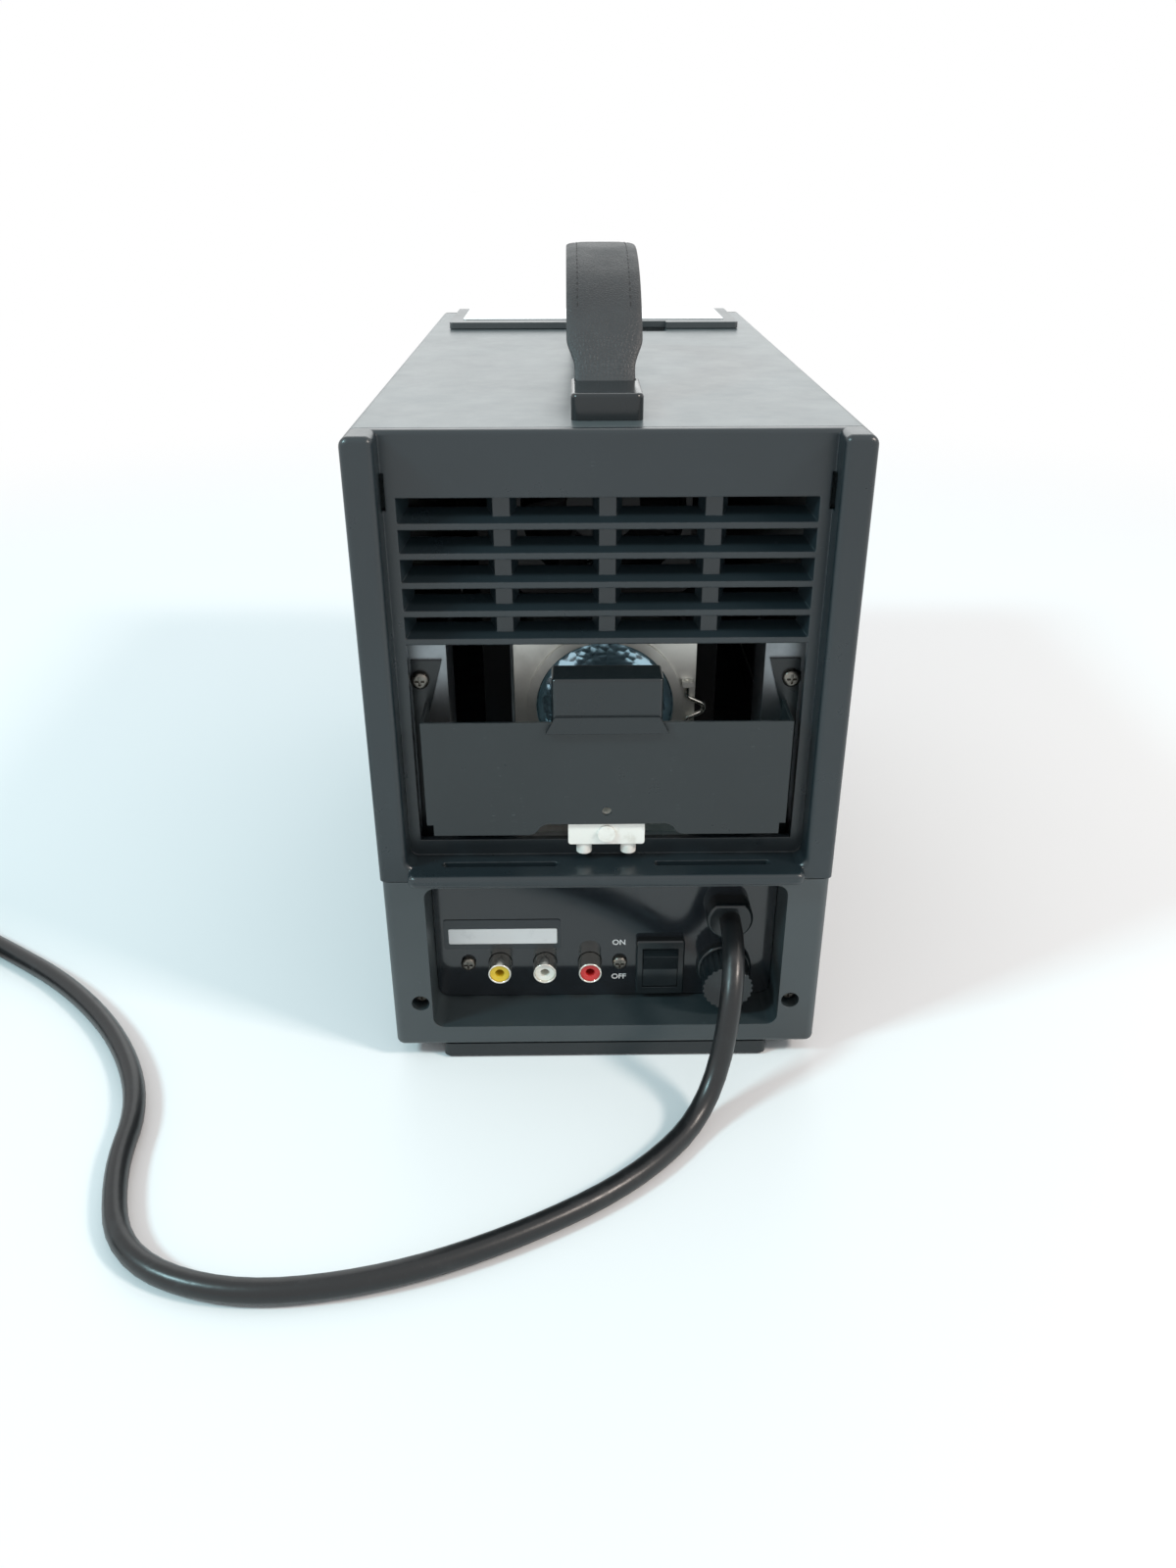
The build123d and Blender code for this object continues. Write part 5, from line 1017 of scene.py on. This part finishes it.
@dataclass
class MainsLead:
    """The free cord with its put-away coil, as one smooth curve from the gland to the plug.

    Sizes are in millimetres and angles in degrees.

    Attributes:
        diameter: Cord diameter.
        coil_outer: Radius of the centre line where the coil starts.
        coil_pitch: Step between two turns of one layer.
        coil_layer: Height of the upper layer over the lower one.
        coil_rest: Height of the lower layer's centre line.
        half_turns: Half turns of each layer.
        heading: The way the cord runs where it enters the coil, from the X axis.
        entry: Where it enters the coil, as x and depth.
        lead_in: Length of the straight run just before the coil.
        points_per_turn: Control points in a turn of the coil.
        plug_rest: Height of the plug's centre line.
        plug_level: Length of the level run into the plug.
        plug_heading: The way the plug points.
        tail_run: Length of each of the tail's two straight runs.
        length: Length of the whole lead, in metres; not used.
        order: Order of the curve.
        pull: How far the curve stays inside a control point, as a share of the way to the middle
            of its two neighbours.
        curve_steps: The curve's own resolution between two control points.
        bevel_steps: The resolution of its round section.
        route: Points from the gland to the coil, as x, depth and height.
    """

    diameter: float = 7.6
    coil_outer: float = 53.0
    coil_pitch: float = 9.6
    coil_layer: float = 9.6
    coil_rest: float = 4.9
    half_turns: int = 4
    heading: float = 147.4
    entry: tuple[float, float] = (-282.0, 88.8)
    lead_in: float = 15.0
    points_per_turn: int = 16
    plug_rest: float = 18.1
    plug_level: float = 16.0
    plug_heading: float = -62.0
    tail_run: float = 22.0
    length: float = 1.773
    order: int = 3
    pull: float = 0.25
    curve_steps: int = 6
    bevel_steps: int = 5
    route: list[Point] = field(
        default_factory=lambda: [
            (44.2, 11.0, 51.5),
            (44.2, -13.5, 51.5),
            (36.0, -29.5, 3.9),
            (10.0, -62.0, 3.9),
            (-30.0, -86.0, 3.9),
            (-70.0, -101.0, 3.9),
            (-112.0, -105.0, 3.9),
            (-146.0, -91.0, 3.9),
            (-158.5, -58.0, 3.9),
            (-160.0, -26.0, 3.9),
            (-178.0, 8.0, 3.9),
            (-208.0, 40.0, 3.9),
            (-243.0, 64.5, 3.9),
        ]
    )

    def way(self, angle: float) -> np.ndarray:
        """Unit vector on the floor at an angle in degrees from the X axis."""
        return np.array((math.cos(math.radians(angle)), math.sin(math.radians(angle)), 0.0))

    def coil(self) -> np.ndarray:
        """Points of the coil, in two layers.

        The radius shrinks steadily, stays level over the climb, and grows again. The curve passes
        inside its control points, so they stand outside the turns by as much.

        Returns:
            Control points in millimetres.
        """
        turns = 2 * self.half_turns + 1
        steps = int(turns * self.points_per_turn / 2)
        count = np.linspace(0.0, turns, steps + 1)
        inward = np.minimum(count, self.half_turns)
        outward = np.maximum(count - self.half_turns - 1.0, 0.0)
        radius = self.coil_outer - (inward - outward) * self.coil_pitch / 2.0
        step = 2.0 * math.pi / self.points_per_turn
        radius = radius / (1.0 - self.pull + self.pull * math.cos(step))
        climb = np.clip(count - self.half_turns, 0.0, 1.0)
        height = self.coil_rest + self.coil_layer * (1.0 - np.cos(climb * math.pi)) / 2.0
        angle = np.radians(self.heading - 90.0) + count * math.pi
        start = np.array((self.entry[0], self.entry[1], 0.0))
        centre = start - self.way(self.heading - 90.0) * self.coil_outer
        flat = np.stack([np.cos(angle), np.sin(angle), np.zeros_like(angle)], axis=-1)
        points = centre + flat * radius[:, None]
        points[:, 2] = height
        return points

    def points(self) -> np.ndarray:
        """All control points of the lead: the route, a straight run, the coil, the tail and the plug.

        Returns:
            Array of x, depth and height in millimetres.
        """
        entry = np.array((self.entry[0], self.entry[1], self.coil_rest))
        backs = (self.diameter + self.lead_in, self.diameter)
        before = [entry - self.way(self.heading) * back for back in backs]
        coil = self.coil()
        out = self.way(self.heading + 180.0 * (2 * self.half_turns + 1))
        leave = coil[-1] + out * self.diameter
        corner = leave + out * self.tail_run
        level = corner + self.way(self.plug_heading) * self.tail_run
        level[2] = self.plug_rest
        mouth = level + self.way(self.plug_heading) * self.plug_level
        return np.vstack([np.array(self.route), before, coil, [leave, corner, level, mouth]])

    def build(self) -> bpy.types.Object:
        """Returns:
            The lead.
        """
        points = self.points()
        data = bpy.data.curves.new("mains_lead", "CURVE")
        data.dimensions = "3D"
        data.bevel_depth = self.diameter / 2 * MM
        data.bevel_resolution = self.bevel_steps
        data.resolution_u = self.curve_steps
        data.use_fill_caps = True
        spline = data.splines.new("NURBS")
        spline.points.add(len(points) - 1)
        flat = np.ones((len(points), 4))
        flat[:, :3] = np.array([at(*point) for point in points])
        spline.points.foreach_set("co", flat.ravel())
        spline.order_u = self.order
        spline.use_endpoint_u = True
        lead = link_new("mains_lead", data)
        data.materials.append(Palette.CORD.material())
        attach(lead, "case")
        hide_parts("power_cord", "cord_coil", "cord_tail")
        at(*self.route[0])
        return lead


# Carry strap


@dataclass
class CarryStrap:
    """The leatherette strap: crowned, thinner along its sewn edges, narrower at its tongues.

    Sizes are in millimetres and angles in degrees. Depths count from the rear face, and the
    front half mirrors the rear half.

    Attributes:
        wide: Half width of the strap.
        tongue: Half width at the caps.
        thick: Thickness at the middle.
        edge_thick: Thickness at the sewn edges.
        swell: Distance from the edge over which it reaches its full thickness.
        level: Height of the tongue's centre line.
        tongue_start, level_end: Depths between which the tongue runs level.
        middle: Depth of the strap's middle.
        crease: Radius of the bend where it leaves the level run.
        slope: Its steepest angle.
        straight: Length of the straight run at that angle.
        shoulder: Radius of the shoulder.
        crown_angle: Slope where the shoulder meets the crown.
        arc_points: Points of the bend, the shoulder and the crown.
        narrow_end, wide_start: Depths between which the tongue widens to the strap.
        flatness: Powers of the section's superellipse, across and up.
        swell_power: Power of the rise from the edge.
        seam: Distance of the stitching from the edge.
        groove, groove_width: Depth and width of the dip under the stitches.
        sewn_from, sewn_over: Depth where the dip starts, and the run over which it deepens.
        pitch: Length of one stitch with its gap.
        stitch, stitch_radius, stitch_sunk: A stitch's length, radius, and depth below the crown.
        stitch_corners: Rings of a stitch, and corners of each ring.
        end_taper: Least share of a stitch's section, at its ends.
        seam_start: Depth where the rows of stitches start.
        cross_gap: Gap between a cross seam and the ends of the rows.
        cross_from, cross_to: Places across between which the cross seams run.
        cross_share: Step of their stitches, as a share of the pitch.
        rings, sides: Sections along the strap, and corners of each section.
    """

    wide: float = 12.0
    tongue: float = 9.5
    thick: float = 3.0
    edge_thick: float = 2.5
    swell: float = 5.0
    level: float = 226.3
    tongue_start: float = 26.0
    level_end: float = 46.0
    middle: float = 115.0
    crease: float = 6.0
    slope: float = 60.0
    straight: float = 4.0
    shoulder: float = 55.7
    crown_angle: float = 20.0
    arc_points: tuple[int, int, int] = (16, 30, 20)
    narrow_end: float = 52.5
    wide_start: float = 58.0
    flatness: Pair = (0.45, 0.6)
    swell_power: float = 0.6
    seam: float = 3.6
    groove: float = 0.22
    groove_width: float = 0.55
    sewn_from: float = 62.0
    sewn_over: float = 4.0
    pitch: float = 3.1
    stitch: float = 2.1
    stitch_radius: float = 0.22
    stitch_sunk: float = 0.28
    stitch_corners: int = 6
    end_taper: float = 0.04
    seam_start: float = 66.0
    cross_gap: float = 1.5
    cross_from: float = -7.0
    cross_to: float = 7.1
    cross_share: float = 0.9
    rings: int = 150
    sides: int = 48

    def centre_line(self) -> np.ndarray:
        """Points of the centre line, as depth and height, evenly spaced along its length.

        The rear half is a level run, an arc that bends up, a short straight run, and two arcs over
        the shoulder to the crown; the other half is its mirror.

        Returns:
            Array of rings rows.
        """
        slope, crown = math.radians(self.slope), math.radians(self.crown_angle)
        bend_points, shoulder_points, crest_points = self.arc_points
        start = np.array((self.level_end, self.level))
        turn = np.linspace(0.0, slope, bend_points)
        crease = start + self.crease * np.stack([np.sin(turn), 1 - np.cos(turn)], 1)
        end = crease[-1] + self.straight * np.array((math.cos(slope), math.sin(slope)))
        hub = end + self.shoulder * np.array((math.sin(slope), -math.cos(slope)))
        turn = np.linspace(-slope, -crown, shoulder_points)
        shoulder = hub + self.shoulder * np.stack([np.sin(turn), np.cos(turn)], 1)
        radius = (self.middle - shoulder[-1][0]) / math.sin(crown)
        hub = shoulder[-1] + radius * np.array((math.sin(crown), -math.cos(crown)))
        turn = np.linspace(-crown, 0.0, crest_points)[1:]
        crest = hub + radius * np.stack([np.sin(turn), np.cos(turn)], 1)
        half = np.vstack([(self.tongue_start, self.level), start, crease[1:], shoulder, crest])
        other = half[-2::-1] * (-1.0, 1.0) + (2 * self.middle, 0.0)
        line = np.vstack([half, other])
        reach = travelled(line)
        even = np.linspace(0.0, reach[-1], self.rings)
        return np.stack([np.interp(even, reach, line[:, 0]), np.interp(even, reach, line[:, 1])], 1)

    def near_end(self, depth: np.ndarray) -> np.ndarray:
        """Depth of each place, or of its mirror place where it is in the front half."""
        return np.minimum(depth, 2 * self.middle - depth)

    def half_width(self, depth: np.ndarray) -> np.ndarray:
        """Half width at each depth: the tongue's, widening smoothly to the strap's.

        Args:
            depth: Depths from the rear face.

        Returns:
            The half widths.
        """
        run = self.wide_start - self.narrow_end
        share = np.clip((self.near_end(depth) - self.narrow_end) / run, 0.0, 1.0)
        return self.tongue + (self.wide - self.tongue) * share * share * (3 - 2 * share)

    def frame_at(self, line: np.ndarray) -> tuple[np.ndarray, np.ndarray]:
        """Unit tangent of the centre line, and its outward normal, a quarter turn from the tangent.

        Args:
            line: Points as depth and height.

        Returns:
            The tangents and the normals, as depth and height.
        """
        tangent = np.gradient(line, axis=0)
        tangent /= np.linalg.norm(tangent, axis=1, keepdims=True)
        return tangent, np.stack([-tangent[:, 1], tangent[:, 0]], 1)

    def body(self) -> bpy.types.Object:
        """The strap itself: a rounded flat section carried along the centre line.

        The section is a superellipse across the width; its thickness falls towards the sewn edges
        and dips along the two rows of stitches.

        Returns:
            The strap.
        """
        line = self.centre_line()
        _, normal = self.frame_at(line)
        angle = np.linspace(0.0, 2.0 * math.pi, self.sides, endpoint=False)
        across = np.sign(np.cos(angle)) * np.abs(np.cos(angle)) ** self.flatness[0]
        lift = np.sign(np.sin(angle)) * np.abs(np.sin(angle)) ** self.flatness[1]
        half = self.half_width(line[:, 0])[:, None]
        offset = across[None, :] * half
        inset = half - np.abs(offset)
        full = np.clip(inset / self.swell, 0.0, 1.0) ** self.swell_power
        crown = self.edge_thick + (self.thick - self.edge_thick) * full
        near = self.near_end(line[:, 0])[:, None]
        sewn = np.clip((near - self.sewn_from) / self.sewn_over, 0.0, 1.0)
        groove = self.groove * sewn * np.exp(-(((inset - self.seam) / self.groove_width) ** 2))
        rise = lift[None, :] * (crown / 2.0 - groove)
        depth = line[:, 0][:, None] + normal[:, 0][:, None] * rise
        height = line[:, 1][:, None] + normal[:, 1][:, None] * rise
        points = np.stack([offset, REAR_Y + depth, height], axis=-1).reshape(-1, 3) * MM
        faces = tube_faces(self.rings, self.sides)
        strap = mesh_piece("carry_strap", points, faces, Palette.STRAP, "case")
        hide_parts("handle_strap")
        return strap

    def capsule(self, middle: np.ndarray, along: np.ndarray, up: np.ndarray) -> np.ndarray:
        """Points of one stitch: rings along its length, each smaller towards the rounded ends.

        Args:
            middle: Its middle.
            along: Unit vector along it.
            up: Unit vector away from the strap.

        Returns:
            The points, ring after ring.
        """
        count = self.stitch_corners
        ends = np.linspace(-0.5, 0.5, count)
        taper = np.clip(1.0 - (2.0 * ends) ** 4, self.end_taper, 1.0)
        radius = np.sqrt(taper) * self.stitch_radius
        side = np.cross(along, up)
        turn = np.linspace(0.0, 2.0 * math.pi, count, endpoint=False)
        spine = middle + along * ends[:, None] * self.stitch
        ring = side * np.cos(turn)[:, None] + up * np.sin(turn)[:, None]
        return (spine[:, None, :] + ring[None, :, :] * radius[:, None, None]).reshape(-1, 3)

    def stitches(self) -> bpy.types.Object:
        """Both rows of stitches and the two cross seams: small capsules laid in the grooves.

        Returns:
            One piece with all the stitches.
        """
        line = self.centre_line()
        tangent, normal = self.frame_at(line)
        reach = travelled(line)
        sewn = reach[self.near_end(line[:, 0]) > self.seam_start]
        first, last = sewn[0], sewn[-1]
        across = np.array((1.0, 0.0, 0.0))
        shapes = []

        def surface(distance: float, x: float) -> tuple[np.ndarray, np.ndarray, np.ndarray]:
            """Finds a place on the strap's outer face.

            Args:
                distance: How far along the centre line it is.
                x: Its place across.

            Returns:
                The place, with the strap's tangent and outward normal there.
            """
            place, along, up = (
                np.array([np.interp(distance, reach, values[:, index]) for index in (0, 1)])
                for values in (line, tangent, normal)
            )
            lifted = place + up * (self.thick / 2.0 - self.stitch_sunk)
            middle = np.array((x, REAR_Y + lifted[0], lifted[1]))
            return middle, np.array((0.0, *along)), np.array((0.0, *up))

        for distance in np.linspace(first, last, int((last - first) / self.pitch)):
            for side in (-1.0, 1.0):
                shapes.append(self.capsule(*surface(distance, side * (self.wide - self.seam))))
        step = self.pitch * self.cross_share
        places = np.arange(self.cross_from, self.cross_to, step)
        for distance in (first - self.cross_gap, last + self.cross_gap):
            for x in places:
                middle, _, up = surface(distance, float(x))
                shapes.append(self.capsule(middle, across, up))
        size = self.stitch_corners
        one = tube_faces(size, size)
        faces = [
            tuple(base + corner for corner in face)
            for base in range(0, len(shapes) * size * size, size * size)
            for face in one
        ]
        points = np.vstack(shapes) * MM
        piece = mesh_piece("strap_stitches", points, faces, Palette.THREAD, "case")
        return piece


# Control panel print


@dataclass
class PanelPrint:
    """The plain switch words beside the rocker and the bare strip on the label, as thin raised print.

    Sizes are in millimetres.

    Attributes:
        words: Each word with its place across and up, and its height.
        type_size: Type size of a letter that is one millimetre high.
        face: Depth of the panel's face.
        raise_by: Thickness of the print.
        bold: How far the strokes are thickened.
        strip: Left, right, bottom and top of the bare strip on the label.
        strip_corner: Its corner radius.
        strip_face: Depth of its face.
        corner_points: Points of each of its rounded corners.
    """

    words: list[tuple[str, float, float, float]] = field(
        default_factory=lambda: [("ON", 5.3, 37.7, 2.3), ("OFF", 5.3, 22.5, 2.3)]
    )
    type_size: float = 1.35
    face: float = 18.0
    raise_by: float = 0.06
    bold: float = 0.08
    strip: tuple[float, float, float, float] = (-56.4, -17.2, 37.8, 44.3)
    strip_corner: float = 0.6
    strip_face: float = 17.62
    corner_points: int = 7

    def build(self) -> list[bpy.types.Object]:
        """Makes the words and the strip, and returns them all."""
        return [self.word(*word) for word in self.words] + [self.blank_strip()]

    def word(self, text: str, x: float, z: float, height: float) -> bpy.types.Object:
        """Makes one word a mesh in place on the panel.

        Args:
            text: The word.
            x: Place of its middle across.
            z: Place of its middle up.
            height: Height of its letters.

        Returns:
            The word's piece.
        """
        data = bpy.data.curves.new("print_" + text.lower(), "FONT")
        data.body = text
        data.size = height * self.type_size * MM
        data.align_x = "CENTER"
        data.align_y = "CENTER"
        data.extrude = self.raise_by / 2 * MM
        data.offset = self.bold * MM
        holder = link_new(data.name, data)
        bpy.context.view_layer.update()
        drawn = holder.evaluated_get(bpy.context.evaluated_depsgraph_get())
        mesh = bpy.data.meshes.new_from_object(drawn)
        place = Matrix.Translation(at(x, self.face - self.raise_by / 2, z))
        mesh.transform(place @ Matrix.Rotation(math.radians(90.0), 4, "X"))
        bpy.data.objects.remove(holder)
        piece = link_new("print_" + text.lower(), mesh)
        mesh.materials.clear()
        mesh.materials.append(Palette.PRINT.material())
        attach(piece, "case")
        return piece

    def blank_strip(self) -> bpy.types.Object:
        """Makes the bare white strip: a rounded rectangle, each corner a quarter circle of points.

        Returns:
            The strip's piece.
        """
        left, right, bottom, top = self.strip
        radius = self.strip_corner
        hubs = [
            (right - radius, top - radius),
            (left + radius, top - radius),
            (left + radius, bottom + radius),
            (right - radius, bottom + radius),
        ]
        outline = []
        for index, hub in enumerate(hubs):
            start = 90.0 * index
            turn = np.radians(np.linspace(start, start + 90.0, self.corner_points))
            outline.extend(zip(hub[0] + radius * np.cos(turn), hub[1] + radius * np.sin(turn)))
        depths = (self.strip_face + self.raise_by, self.strip_face)
        points = np.array([at(x, depth, z) for depth in depths for x, z in outline])
        faces = tube_faces(len(depths), len(outline))
        strip = mesh_piece("label_strip", points, faces, Palette.PRINT, "case", False)
        return strip


def dress_nodes() -> None:
    """Gives every CAD node its finish, in all its material slots."""
    for name, finish in NODE_FINISH.items():
        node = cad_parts[name]
        if not node.material_slots:
            node.data.materials.append(finish.material())
        for slot in node.material_slots:
            slot.material = finish.material()


def main() -> None:
    """Builds the scene in order and reports each piece."""
    studio = Studio()
    studio.camera()
    lead = MainsLead().build()
    LOG.info("mains lead: %s", lead.name)
    studio.floor()
    studio.light()
    dress_nodes()
    LOG.info("finishes: %d nodes", len(NODE_FINISH))
    strap = CarryStrap()
    LOG.info("strap: %s and %s", strap.body().name, strap.stitches().name)
    LOG.info("print: %s", ", ".join(piece.name for piece in PanelPrint().build()))


if __name__ == "__main__":
    logging.basicConfig(level=logging.INFO)
    main()
